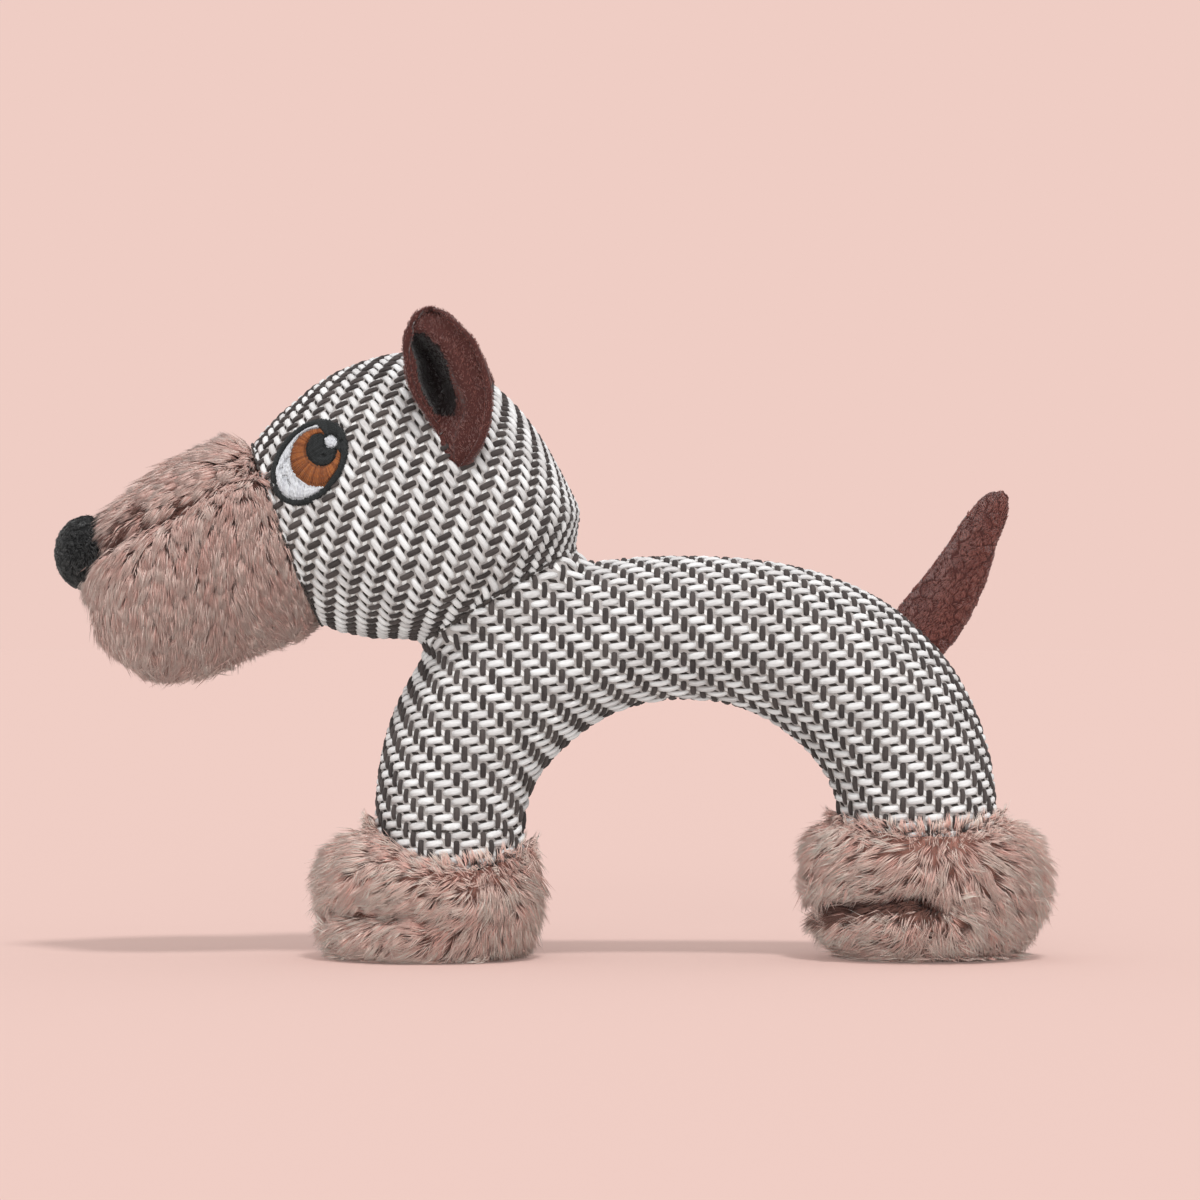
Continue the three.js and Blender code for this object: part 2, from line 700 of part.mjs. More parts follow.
function eyePrism(along, across, long, wide) {
  const shape = new THREE.Shape().absellipse(along, across, long, wide, 0, 2 * Math.PI);
  return new THREE.ExtrudeGeometry(shape, { depth: HEAD_WIDTH, bevelEnabled: false, curveSegments: 9 });
}

function placeEye(geometry) {
  return solid(geometry.rotateZ(EYE_TURN).rotateX(Math.PI / 2).translate(EYE_BACK, 0, EYE_UP));
}

const lidBox = new THREE.BoxGeometry(EYE_LENGTH, EYE_LENGTH, HEAD_WIDTH);
const eyeAll = placeEye(eyePrism(0, 0, EYE_LENGTH / 2, EYE_WIDTH / 2));
const lid = (shift) =>
  placeEye(
    lidBox
      .clone()
      .translate(EYE_LENGTH / 2 + shift, 0, HEAD_WIDTH / 2)
      .rotateZ(-EYE_LID_SLANT)
      .translate(EYE_LID, 0, 0),
  );
const eyeField = (inset) =>
  placeEye(eyePrism(0, 0, EYE_LENGTH / 2 - EYE_LINE - inset, EYE_WIDTH / 2 - EYE_LINE - inset)).subtract(lid(-inset));
const disc = (shift, drop, radius) => placeEye(eyePrism(shift, -drop, radius, radius));
const iris = (inset) => disc(IRIS_SHIFT, IRIS_DROP, IRIS_RADIUS - inset);
const pupil = (inset) => disc(PUPIL_SHIFT, PUPIL_DROP, PUPIL_RADIUS - inset);
const glint = (inset) => disc(GLINT_SHIFT, GLINT_DROP, GLINT_RADIUS - inset);

const eyePieces = {
  outline: [eyeAll.subtract(eyeField(0)).subtract(glint(0)), blackThread],
  white: [eyeField(GAP).subtract(iris(0)), whiteThread],
  iris: [iris(GAP).intersect(eyeField(GAP)).subtract(pupil(0)).subtract(glint(0)), brownThread],
  pupil: [pupil(GAP).intersect(eyeField(GAP)).subtract(glint(0)), blackThread],
  glint: [glint(GAP), whiteThread],
};

for (const [name, [column, look]] of Object.entries(eyePieces)) {
  const piece = geometryOf(eyeLayer.intersect(column));
  add(head, `eye_left_${name}`, piece, look);
  add(head, `eye_right_${name}`, mirrored(piece), look);
}

// Ears: an outer panel and a lining, cut clear of the head over the whole of their flop

const EAR_OUTLINE = [
  [0, 0.5, 78],
  [0.14, 0.72, 76],
  [0.32, 0.92, 72],
  [0.52, 1, 66],
  [0.7, 0.92, 60],
  [0.84, 0.72, 54],
  [0.94, 0.46, 48],
  [1, 0.2, 42],
];

// A cupped leaf that stands on its foot, with its hollow side toward -Y
function leaf(rows, outside, inside, margin) {
  const rings = rows.map(([share, wide, spreadAngle]) => {
    const half = THREE.MathUtils.degToRad(spreadAngle);
    const chord = (EAR_WIDTH / 2) * wide;
    const radius = chord / Math.sin(half);
    const cut = Math.min(margin / radius, half * 0.5);
    const z = share * (EAR_LENGTH + EAR_SINK);
    const arc = (r, sign) =>
      Array.from({ length: 9 }, (_, i) => {
        const angle = sign * (half - cut) * (i / 4 - 1);
        return new THREE.Vector3(r * Math.sin(angle), r * Math.cos(angle) - radius * Math.cos(half), z);
      });
    const inner = Math.max(radius - inside, radius * 0.25);
    const outer = Math.max(radius - outside, inner + 0.5);
    return [...arc(outer, -1), ...arc(inner, 1)];
  });
  return loft(rings);
}

const headSurfaceShare = EAR_BACK / HEAD_LENGTH;
const earSide = (HEAD_WIDTH / 2) * Math.sqrt(Math.max(0.05, 1 - (EAR_UP / (HEAD_HEIGHT / 2)) ** 2));
const earRoot = new THREE.Vector3(EAR_BACK, -earSide * (headSurfaceShare < 0.8 ? 0.97 : 0.8), EAR_UP);
const earPlace = new THREE.Matrix4()
  .makeTranslation(earRoot.x, earRoot.y, earRoot.z)
  .multiply(new THREE.Matrix4().makeRotationY(HEAD_TILT - EAR_LEAN))
  .multiply(new THREE.Matrix4().makeRotationX(EAR_SPLAY))
  .multiply(new THREE.Matrix4().makeRotationZ(Math.PI / 2 - Math.PI + EAR_OPEN_TURN))
  .multiply(new THREE.Matrix4().makeTranslation(0, 0, -EAR_SINK));
const earHinge = new THREE.Vector3(Math.cos(EAR_HINGE_SLOPE), 0, -Math.sin(EAR_HINGE_SLOPE));
const headRoom = geometryOf(headForm(-GAP));

function clearOfHead(geometry) {
  const swings = [0, EAR_FLOP_OUT / 2, EAR_FLOP_OUT, EAR_FLOP_IN];
  return swings.reduce(
    (left, angle) => left.subtract(solid(swung(headRoom, earRoot, earHinge, -angle))),
    solid(geometry.applyMatrix4(earPlace)),
  );
}

const earOuter = geometryOf(clearOfHead(leaf(EAR_OUTLINE, 0, VELVET, 0)));
const earLining = geometryOf(
  clearOfHead(leaf(EAR_OUTLINE.slice(0, -1), VELVET + GAP, 2 * VELVET + GAP, LINING_MARGIN)),
);
add(head, 'ear_left_outer', earOuter, velvet);
add(head, 'ear_left_lining', earLining, velvet);
add(head, 'ear_right_outer', mirrored(earOuter), velvet);
add(head, 'ear_right_lining', mirrored(earLining), velvet);

// The origin lies on the floor, under the middle of the toy

toy.updateMatrixWorld(true);
const box = new THREE.Box3().setFromObject(toy, true);
toy.position.set(-(box.min.x + box.max.x) / 2, -(box.min.y + box.max.y) / 2, -box.min.z);

export default toy;
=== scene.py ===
import math
from functools import partialmethod

import bmesh
import bpy
import numpy as np
from mathutils import Matrix, Vector, geometry, noise
from mathutils.bvhtree import BVHTree
from mathutils.kdtree import KDTree


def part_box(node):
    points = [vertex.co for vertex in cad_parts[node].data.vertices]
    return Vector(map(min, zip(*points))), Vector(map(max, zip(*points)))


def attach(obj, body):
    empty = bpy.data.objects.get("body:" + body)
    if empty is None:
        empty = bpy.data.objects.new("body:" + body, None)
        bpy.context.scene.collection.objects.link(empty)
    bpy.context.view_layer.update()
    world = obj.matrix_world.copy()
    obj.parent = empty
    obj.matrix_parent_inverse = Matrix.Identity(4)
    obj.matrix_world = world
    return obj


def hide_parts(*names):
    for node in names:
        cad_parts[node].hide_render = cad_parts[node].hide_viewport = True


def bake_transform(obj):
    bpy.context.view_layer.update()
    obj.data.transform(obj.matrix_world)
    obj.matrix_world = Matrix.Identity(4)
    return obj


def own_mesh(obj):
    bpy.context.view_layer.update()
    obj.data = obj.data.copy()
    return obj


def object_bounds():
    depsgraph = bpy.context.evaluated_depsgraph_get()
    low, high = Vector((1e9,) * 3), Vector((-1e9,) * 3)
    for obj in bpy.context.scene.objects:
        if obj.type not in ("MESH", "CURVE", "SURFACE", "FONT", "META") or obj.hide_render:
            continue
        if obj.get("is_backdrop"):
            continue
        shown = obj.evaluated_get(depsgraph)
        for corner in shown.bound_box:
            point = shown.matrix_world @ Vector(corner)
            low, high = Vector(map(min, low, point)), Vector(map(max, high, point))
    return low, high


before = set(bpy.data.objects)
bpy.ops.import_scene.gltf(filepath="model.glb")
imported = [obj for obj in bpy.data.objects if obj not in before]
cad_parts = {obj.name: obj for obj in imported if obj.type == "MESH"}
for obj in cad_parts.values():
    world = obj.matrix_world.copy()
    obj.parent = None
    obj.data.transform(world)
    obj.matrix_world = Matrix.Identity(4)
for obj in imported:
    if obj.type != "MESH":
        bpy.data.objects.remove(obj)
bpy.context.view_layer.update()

# Squeaker: a drum of soft moulded plastic with a folded wall between a base and a cap, and a thin reed in a
# holder pressed into the base. It lies loose in the filling of the back and sounds when the drum is pressed.

MM = 0.001
BELLOWS_WALL = 1.6
BELLOWS_FOLD = 2.6
BELLOWS_TURNS = 4
BELLOWS_SIDES = 64


class Dye:
    """A value in one material. Its operators add the Math nodes that work it out."""

    def __init__(self, tree, socket=None):
        self.tree = tree
        self.socket = socket

    def node(self, kind, settings=None, sockets=None, output=0):
        made = self.tree.nodes.new(kind)
        for name, value in (settings or {}).items():
            setattr(made, name, value)
        for name, value in (sockets or {}).items():
            if isinstance(value, Dye):
                self.tree.links.new(value.socket, made.inputs[name])
            else:
                made.inputs[name].default_value = value
        return Dye(self.tree, made.outputs[output])

    def maths(self, operation, *others):
        return self.node("ShaderNodeMath", {"operation": operation}, dict(enumerate((self, *others))))

    __add__ = partialmethod(maths, "ADD")
    __sub__ = partialmethod(maths, "SUBTRACT")
    __mul__ = partialmethod(maths, "MULTIPLY")
    __lt__ = partialmethod(maths, "LESS_THAN")
    part = partialmethod(maths, "FRACT")
    size = partialmethod(maths, "ABSOLUTE")

    def __rsub__(self, other):
        return self.node("ShaderNodeMath", {"operation": "SUBTRACT"}, {0: other, 1: self})

    def between(self, low, high):
        """The colour that lies this far from low to high."""
        return self.node("ShaderNodeMix", {"data_type": "RGBA"}, {0: self, 6: low, 7: high}, 2)


class Finish:
    """A material with one surface shader, whose even values are set on its own sockets."""

    def __init__(self, name, sockets):
        self.material = bpy.data.materials.new(name)
        self.material.use_nodes = True
        self.tree = self.material.node_tree
        self.node = Dye(self.tree).node
        self.shader = self.tree.nodes["Principled BSDF"]
        for socket, value in sockets.items():
            self.shader.inputs[socket].default_value = value

    def feed(self, socket, dye):
        self.tree.links.new(dye.socket, self.shader.inputs[socket])

    def emboss(self, height, depth):
        self.feed("Normal", self.node("ShaderNodeBump", None, {"Distance": depth, "Height": height}))

    def mottle(self, scale, detail=2.0, place=None):
        place = place or self.node("ShaderNodeTexCoord", None, None, 3)
        return self.node("ShaderNodeTexNoise", None, {"Vector": place, "Scale": scale, "Detail": detail})


def paint(red, green, blue):
    """A colour of a paint card, in parts of 255, as the shaders take it."""
    parts = [value / 255 for value in (red, green, blue)]
    return (*[p / 12.92 if p < 0.04045 else ((p + 0.055) / 1.055) ** 2.4 for p in parts], 1.0)


def moulded(name, low, high):
    finish = Finish(name, {"Specular IOR Level": 0.45})
    finish.feed("Base Color", finish.mottle(260).between(paint(*low), paint(*high)))
    finish.feed("Roughness", finish.mottle(900) * 0.2 + 0.35)
    finish.emboss(finish.mottle(1500), 0.03 * MM)
    return finish


def placed(name, data, finishes=()):
    """A new object at the origin."""
    for finish in finishes:
        data.materials.append(finish.material)
    piece = bpy.data.objects.new(name, data)
    bpy.context.scene.collection.objects.link(piece)
    return piece


def meshed(name, bm):
    mesh = bpy.data.meshes.new(name)
    bm.to_mesh(mesh)
    bm.free()
    return mesh


def made(name, bm, *finishes):
    """A new object from a mesh drawn in millimetres."""
    bmesh.ops.scale(bm, vec=(MM, MM, MM), verts=bm.verts)
    return placed(name, meshed(name, bm), finishes)


def fitted(piece, node, body=None):
    """Says which node a piece stands for, by hiding it, and what it rides on."""
    if body:
        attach(piece, body)
    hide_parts(node)


drum_plastic = moulded("drum_plastic", (222, 218, 206), (238, 235, 226))
reed_plastic = moulded("reed_plastic", (190, 184, 168), (208, 203, 189))
for node, finish in (("squeaker_base", drum_plastic), ("squeaker_cap", drum_plastic),
                     ("squeaker_reed_holder", reed_plastic), ("squeaker_reed", reed_plastic)):
    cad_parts[node].data.materials.clear()
    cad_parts[node].data.materials.append(finish.material)
low, high = (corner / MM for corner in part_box("squeaker_bellows"))
axle = (low.x + high.x) / 2
heights = [low.z + (high.z - low.z) * i / BELLOWS_TURNS for i in range(BELLOWS_TURNS + 1)]
wall = [Vector(((high.x - low.x) / 2 - BELLOWS_FOLD * (i % 2), 0, z)) for i, z in enumerate(heights)]
wall += [point - Vector((BELLOWS_WALL, 0, 0)) for point in reversed(wall)]
bm = bmesh.new()
corners = [bm.verts.new(point) for point in wall]
edges = [bm.edges.new((corners[i - 1], corners[i])) for i in range(len(corners))]
bmesh.ops.spin(bm, geom=corners + edges, cent=(0, 0, 0), axis=(0, 0, 1), angle=2 * math.pi,
               steps=BELLOWS_SIDES, use_merge=True)
bmesh.ops.remove_doubles(bm, verts=bm.verts, dist=0.001)
bmesh.ops.recalc_face_normals(bm, faces=bm.faces)
bmesh.ops.translate(bm, verts=bm.verts, vec=(axle, 0, 0))
bellows = made("bellows_wall", bm, drum_plastic)
fitted(bellows, "squeaker_bellows", "body")
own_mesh(bellows)

# Filling: loose white polyester fibre, pushed into each cover by hand until it is plump, in one wad for each
# leg, the shoulder, the rump, the head, the muzzle, the nose, the tail and the feet, and two for the back.

FILLING_SINK = 0.55
PAW_SINK = 4.5
FILLING_TUFT = 0.45
FILLING_GRAIN = 2.2
FILLING = {"body": ("front_leg_filling", "shoulder_filling", "back_filling_upper", "back_filling_lower",
                    "rump_filling", "hind_leg_filling", "front_paw_filling", "rear_paw_filling"),
           "head": ("head_filling", "muzzle_filling", "nose_filling"), "tail": ("tail_filling",)}
fibre = Finish("loose_fibre", {"Roughness": 1.0, "Sheen Weight": 0.3})
wisps = fibre.mottle(500, 6)
fibre.feed("Base Color", wisps.between(paint(216, 213, 206), paint(252, 251, 247)))
fibre.emboss(wisps, 0.6 * MM)


def remeshed(grain, *parts):
    """The outer skin of these meshes together, in even squares of about one grain."""
    whole = bmesh.new()
    for part in parts:
        mesh = meshed("part", part)
        whole.from_mesh(mesh)
        bpy.data.meshes.remove(mesh)
    rough = placed("rough", meshed("rough", whole))
    squares = rough.modifiers.new("squares", "REMESH")
    squares.mode = "VOXEL"
    squares.voxel_size = grain
    even = rough.evaluated_get(bpy.context.evaluated_depsgraph_get())
    skin = bmesh.new()
    skin.from_mesh(even.to_mesh())
    even.to_mesh_clear()
    bpy.data.objects.remove(rough)
    return skin


def eased(bm, times):
    for _ in range(times):
        bmesh.ops.smooth_vert(bm, verts=bm.verts, factor=0.5, use_axis_x=True, use_axis_y=True,
                              use_axis_z=True)
    bm.normal_update()
    return bm


def copied(node):
    """A CAD solid's surface in millimetres, with its corners joined."""
    bm = bmesh.new()
    bm.from_mesh(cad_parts[node].data)
    bmesh.ops.scale(bm, vec=(1 / MM, 1 / MM, 1 / MM), verts=bm.verts)
    bmesh.ops.remove_doubles(bm, verts=bm.verts, dist=0.01)
    return bm


for body, nodes in FILLING.items():
    for node in nodes:
        bm = eased(remeshed(FILLING_GRAIN, copied(node)), 2)
        sink = PAW_SINK if "paw" in node else FILLING_SINK
        for vert in bm.verts:
            vert.co -= vert.normal * (sink + FILLING_TUFT * noise.noise(vert.co * 0.3))
        for face in bm.faces:
            face.smooth = True
        fitted(made(node.replace("filling", "wad"), bm, fibre), node, body)

# Body cover: one tweed panel on each side, sewn along the spine, the belly and the chest. The cloth is a
# twill of white weft and dark warp, over two and under two, and each yarn bulges where it lies on top.

MIDDLE = 33.901
LEG_SPAN = 121.4
LEG_SEAM = 34.0
LEG_TUCK = 11.0
LEG_RUN = 0.06
ARCH_RISE = 52.0
ARCH_POWER = 2 / 2.2
GIRTHS = (20.2, 22.3, 19.4, 22.2, 21.2)
BODY_DEPTH = 1.05
NECK_AT = 0.3
NECK_REACH = 20.5
NECK_TILT = math.radians(31.5)
NECK_HALF_LENGTH = 25.5
NECK_HALF_WIDTH = 24.0
NECK_DEPTH = 26.0
NECK_FOOT = 18.3
NECK_FLARE = 1.25
YARN_CROWN = 0.95
CLOTH_GRAIN = 1.5
CLOTH_THICKNESS = 0.5
COVER_THICKNESS = 0.9
SEAM_WIDTH = 4.5
SEAM_SINK = 1.3
WARP_PITCH = 2.24
WEFT_PITCH = 2.2
WEFT_HALF = (2.5, 0.92, 0.56)
WARP_HALF = (2.0, 0.79, 0.52)
WEFT_SLANT = 0.15
YARN_STRAY = 0.07
YARN_EDGE = 1.2
FLAT = 0.002
SIDEWAYS = -0.9
CLOTH_SPAN = 400.0
CLOTH_LEFT = 0.005
CLOTH_LOW = 0.52
CELLS = 16
NEAR = Vector((0, -1, 0))
neck_out = Vector((-math.sin(NECK_TILT), 0, math.cos(NECK_TILT)))
neck_front = Vector((-math.cos(NECK_TILT), 0, -math.sin(NECK_TILT)))


def clamped(value, low=0, high=1):
    return min(max(value, low), high)


def turned(share):
    """The cosine and sine at a share of the way round."""
    return math.cos(2 * math.pi * share), math.sin(2 * math.pi * share)


def arch(share):
    """A point of the line through the middle of the legs and the back."""
    angle = math.pi * clamped(share)
    along = math.copysign(abs(math.cos(angle)) ** ARCH_POWER, math.cos(angle))
    return Vector((MIDDLE - LEG_SPAN / 2 * along, 0, LEG_SEAM + ARCH_RISE * math.sin(angle) ** ARCH_POWER))


def arch_out(share):
    if share <= 0 or share >= 1:
        return Vector((-1 if share <= 0 else 1, 0, 0))
    ahead = (arch(share + 0.001) - arch(share - 0.001)).normalized()
    return Vector((-ahead.z, 0, ahead.x))


def girth(share):
    """The radius of the body, on a smooth curve through its five girths."""
    spot = clamped(share) * (len(GIRTHS) - 1)
    step = min(int(spot), len(GIRTHS) - 2)
    before, left, right, after = (GIRTHS[clamped(step + k, 0, len(GIRTHS) - 1)] for k in (-1, 0, 1, 2))
    part, rise, fall = spot - step, (right - before) / 2, (after - left) / 2
    return (left + rise * part + (3 * (right - left) - 2 * rise - fall) * part ** 2
            + (2 * (left - right) + rise + fall) * part ** 3)


def sleeve(rows, sides, place):
    """A closed tube, with place(along, around) for each point, both counted from 0 to 1."""
    bm = bmesh.new()
    bmesh.ops.create_grid(bm, x_segments=rows, y_segments=sides, size=1)
    for vert in bm.verts:
        vert.co = place((vert.co.x + 1) / 2, (vert.co.y + 1) / 2)
    bmesh.ops.remove_doubles(bm, verts=bm.verts, dist=0.001)
    bmesh.ops.holes_fill(bm, edges=bm.edges, sides=0)
    bmesh.ops.recalc_face_normals(bm, faces=bm.faces)
    return bm


def trimmed(bm, point, normal):
    """Cuts away what lies on the normal's side of a plane."""
    everything = bm.verts[:] + bm.edges[:] + bm.faces[:]
    bmesh.ops.bisect_plane(bm, geom=everything, plane_co=point, plane_no=normal, clear_outer=True)
    bm.normal_update()


def halved(bm):
    """Keeps the near half of a cover."""
    trimmed(bm, (0, 0, 0), (0, 1, 0))


def from_plane(point, normal):
    return lambda spot: abs((spot - point).dot(normal))


def drawn_in(bm, distance, width=SEAM_WIDTH, sink=SEAM_SINK):
    """Sinks the cloth towards a seam, by its distance from it."""
    bm.normal_update()
    pulls = [(vert, max(0, 1 - distance(vert.co) / width)) for vert in bm.verts]
    for vert, pull in pulls:
        vert.co -= vert.normal * (sink * pull * pull)
    bm.normal_update()


def batch_of(bm, place, slot=0):
    """A mesh as one batch: its points, corners, face sizes, places on the map from place(loop), and slot."""
    bm.verts.index_update()
    loops = [loop for face in bm.faces for loop in face.loops]
    points = np.array([vert.co for vert in bm.verts])
    corners = np.array([loop.vert.index for loop in loops])
    sizes = np.array([len(face.verts) for face in bm.faces])
    places = np.array([place(loop) for loop in loops])
    bm.free()
    return points, corners, sizes, places, slot


def spindle(sides, rings, fullness=0.6, taper=0.0):
    """A yarn's or a hair's shape from -1 to 1 along X, as a batch."""
    bm = bmesh.new()
    bm.loops.layers.uv.new("around")
    bmesh.ops.create_uvsphere(bm, u_segments=sides, v_segments=rings, radius=1,
                              matrix=Matrix.Rotation(math.pi / 2, 4, "Y"), calc_uvs=True)
    around = bm.loops.layers.uv["around"]
    for vert in bm.verts:
        round_part = math.hypot(vert.co.y, vert.co.z)
        if round_part > 0.001:
            grow = round_part ** (fullness - 1) * (1 - taper * (vert.co.x + 1) / 2)
            vert.co.y *= grow
            vert.co.z *= grow
    return batch_of(bm, lambda loop: (clamped(loop[around].uv.x), (loop.vert.co.x + 1) / 2))


def unit(vectors):
    return vectors / (np.linalg.norm(vectors, axis=-1, keepdims=True) + 1e-9)


def strewn(shape, line, ups, wide, tall, rows, draw, slot=0, kin=None):
    """Copies of a shape bent along arcs from three rows of points. Each has a small cell of the map in these
    rows, and most share the cell of their kin."""
    points, corners, sizes, places, _ = shape
    count = len(ups)
    x, y, z = points.T
    line = np.stack(line)
    centre = np.einsum("sk,snj->nkj", np.stack([x * (x - 1) / 2, 1 - x * x, x * (x + 1) / 2]), line)
    ahead = np.einsum("sk,snj->nkj", np.stack([x - 0.5, -2 * x, x + 0.5]), line)
    side = unit(np.cross(ups[:, None, :], ahead))
    lift = unit(np.cross(ahead, side))
    wide = np.outer(np.broadcast_to(wide, count), y)[:, :, None]
    tall = np.outer(np.broadcast_to(tall, count), z)[:, :, None]
    spots = centre + side * wide + lift * tall
    cell = np.stack([draw.integers(0, CELLS, count), draw.integers(*rows, count)], 1)
    if kin is not None:
        cell = np.where(draw.random((count, 1)) < 0.6, cell[kin], cell)
    corners = corners[None] + np.arange(count)[:, None] * len(points)
    places = (cell[:, None] + 0.06 + 0.88 * places[None]) / CELLS
    return spots.reshape(-1, 3), corners.ravel(), np.tile(sizes, count), places.reshape(-1, 2), slot


def thickened(skin, thickness):
    """A skin with a second face this far inside it, and closed edges."""
    sheet = skin.copy()
    sheet.normal_update()
    outs = {tuple(vert.co): vert.normal.copy() for vert in sheet.verts}
    grown = bmesh.ops.extrude_face_region(sheet, geom=sheet.faces[:], use_keep_orig=True)["geom"]
    for vert in grown:
        if isinstance(vert, bmesh.types.BMVert):
            vert.co -= outs[tuple(vert.co)] * thickness
    bmesh.ops.recalc_face_normals(sheet, faces=sheet.faces)
    return sheet


def gathered(name, batches, finishes, flip=False):
    """One object from batches drawn in millimetres, or its mirror image on the other side."""
    before = np.cumsum([0] + [len(batch[0]) for batch in batches])
    points, corners, sizes, places, slots = (np.concatenate(part) for part in zip(*(
        (spots * MM, ends + start, counts, on_map, np.full(len(counts), slot))
        for (spots, ends, counts, on_map, slot), start in zip(batches, before))))
    starts = np.cumsum(sizes) - sizes
    if flip:
        points = points * (1, -1, 1)
        reverse = np.repeat(2 * starts + sizes - 1, sizes) - np.arange(len(corners))
        corners, places = corners[reverse], places[reverse]
    mesh = bpy.data.meshes.new(name)
    mesh.vertices.add(len(points))
    mesh.vertices.foreach_set("co", points.astype(np.float32).ravel())
    mesh.loops.add(len(corners))
    mesh.loops.foreach_set("vertex_index", corners.astype(np.int32))
    mesh.polygons.add(len(sizes))
    mesh.polygons.foreach_set("loop_start", starts.astype(np.int32))
    mesh.polygons.foreach_set("material_index", slots.astype(np.int32))
    mesh.polygons.foreach_set("use_smooth", np.ones(len(sizes), bool))
    mesh.uv_layers.new(name="OFBake").uv.foreach_set("vector", places.astype(np.float32).ravel())
    mesh.update(calc_edges=True)
    mesh.validate()
    return placed(name, mesh, finishes)


def paired(name, node, batches, finishes, body=None):
    """The piece of each side, the right one a mirror image. A star in a name stands for the side."""
    pieces = {}
    for side in ("left", "right"):
        pieces[side] = gathered(name.replace("*", side), batches, finishes, side == "right")
        fitted(pieces[side], node.replace("*", side), body)
    return pieces


def tree_of(points):
    tree = KDTree(len(points))
    for i, point in enumerate(points):
        tree.insert(point, i)
    tree.balance()
    return tree


def flattened(shell, turn):
    """The shell's cloth laid flat, in millimetres, with its side kept in shape and its weft turned level."""
    spread = shell.loops.layers.uv.new("spread")
    for face in shell.faces:
        for loop in face.loops:
            loop[spread].uv = (loop.vert.co.x * FLAT, loop.vert.co.z * FLAT)
            loop[spread].pin_uv = loop.vert.normal.y < SIDEWAYS
    pinned = np.array([vert.normal.y < SIDEWAYS for vert in shell.verts])
    mesh = bpy.data.meshes.new("panel")
    shell.to_mesh(mesh)
    panel = placed("panel", mesh)
    bpy.context.view_layer.objects.active = panel
    bpy.ops.object.mode_set(mode="EDIT")
    bpy.ops.mesh.select_all(action="SELECT")
    bpy.ops.uv.unwrap(method="ANGLE_BASED", margin=0)
    bpy.ops.object.mode_set(mode="OBJECT")
    flat = np.zeros((len(mesh.vertices), 2))
    owners = np.array([loop.vertex_index for loop in mesh.loops])
    flat[owners] = np.array([item.vector for item in mesh.uv_layers["spread"].uv])
    true = np.array([vert.co for vert in mesh.vertices])
    bpy.data.objects.remove(panel)
    laid = flat[:, 0] + 1j * flat[:, 1]
    real = true[:, 0] + 1j * true[:, 2]
    middle, aim = laid[pinned].mean(), real[pinned].mean()
    from_middle = laid[pinned] - middle
    scale = ((real[pinned] - aim) * from_middle.conj()).sum() / (abs(from_middle) ** 2).sum()
    laid = ((laid - middle) * scale + aim) * np.exp(-1j * turn)
    return np.stack([laid.real, laid.imag], 1)


YARNS = ((spindle(6, 6, 0.34), WEFT_HALF, WEFT_PITCH, WARP_PITCH, 0.3, 0.38),
         (spindle(6, 6, 0.14), WARP_HALF, WARP_PITCH, WEFT_PITCH, 0.12, 0.4))


def woven(shell, turn, seed, bare=None):
    """Batches of a tweed panel: its yarns, weft and warp, and the pale ground that they lie on."""
    draw = np.random.default_rng(seed)
    bmesh.ops.triangulate(shell, faces=shell.faces)
    shell.normal_update()
    shell.verts.index_update()
    flat = flattened(shell, turn)
    faces = [[vert.index for vert in face.verts] for face in shell.faces]
    points = [vert.co.copy() for vert in shell.verts]
    normals = [vert.normal.copy() for vert in shell.verts]
    spread = [Vector((*place, 0)) for place in flat]
    tree = BVHTree.FromPolygons(spread, faces)

    def lifted(places):
        """The shell's points at these places of the flat cloth, their normals and how far off they are."""
        spots, outs, away = [], [], []
        for x, y in places:
            near, _, index, distance = tree.find_nearest(Vector((x, y, 0)))
            face = faces[index]
            laid = (near, *(spread[k] for k in face))
            spots.append(geometry.barycentric_transform(*laid, *(points[k] for k in face)))
            outs.append(geometry.barycentric_transform(*laid, *(normals[k] for k in face)).normalized())
            away.append(distance)
        return np.array(spots), np.array(outs), np.array(away)

    low, high = flat.min(0), flat.max(0)
    batches = []
    for slot, (shape, half, pitch, across, sink, rise) in enumerate(YARNS):
        weft = slot == 0
        first, last = (low[1], high[1]) if weft else (low[0], high[0])
        begin, end = (low[0], high[0]) if weft else (low[1], high[1])
        centres = []
        for row in range(math.floor(first / pitch), math.ceil(last / pitch) + 1):
            shift = -row + 0.5 if weft else -(row - 2.5)
            step = math.floor(begin / across / 4) * 4 + shift % 4 - 4
            while step * across < end + 4:
                centres.append((step * across, row * pitch) if weft else (row * pitch, step * across))
                step += 4
        centres = np.array(centres)
        centres += draw.normal(0, YARN_STRAY, centres.shape)
        spots, outs, away = lifted(centres)
        keep = away < YARN_EDGE
        if bare:
            keep &= ~bare(spots)
        centres, spots, outs = centres[keep], spots[keep], outs[keep]
        reach = half[0] * draw.uniform(0.9, 1.08, len(centres))
        slant = np.array([math.cos(WEFT_SLANT), math.sin(WEFT_SLANT)]) if weft else np.array([0.0, 1.0])
        lefts, left_outs, _ = lifted(centres - reach[:, None] * slant)
        rights, right_outs, _ = lifted(centres + reach[:, None] * slant)
        line = (lefts - left_outs * sink, spots + outs * rise, rights - right_outs * sink)
        wide = half[1] * draw.uniform(0.95, 1.05, len(centres))
        batches.append(strewn(shape, line, outs, wide, half[2], (0, 4) if weft else (4, 8), draw, slot))
    repeat = 4 * np.array([WARP_PITCH, WEFT_PITCH])
    corner = np.floor(low / repeat) * repeat
    known = tree_of(points)

    def on_map(loop):
        x, y = (flat[known.find(loop.vert.co)[1]] - corner) / CLOTH_SPAN
        return CLOTH_LEFT + x, CLOTH_LOW + y

    return batches + [batch_of(thickened(shell, CLOTH_THICKNESS), on_map, 2)]


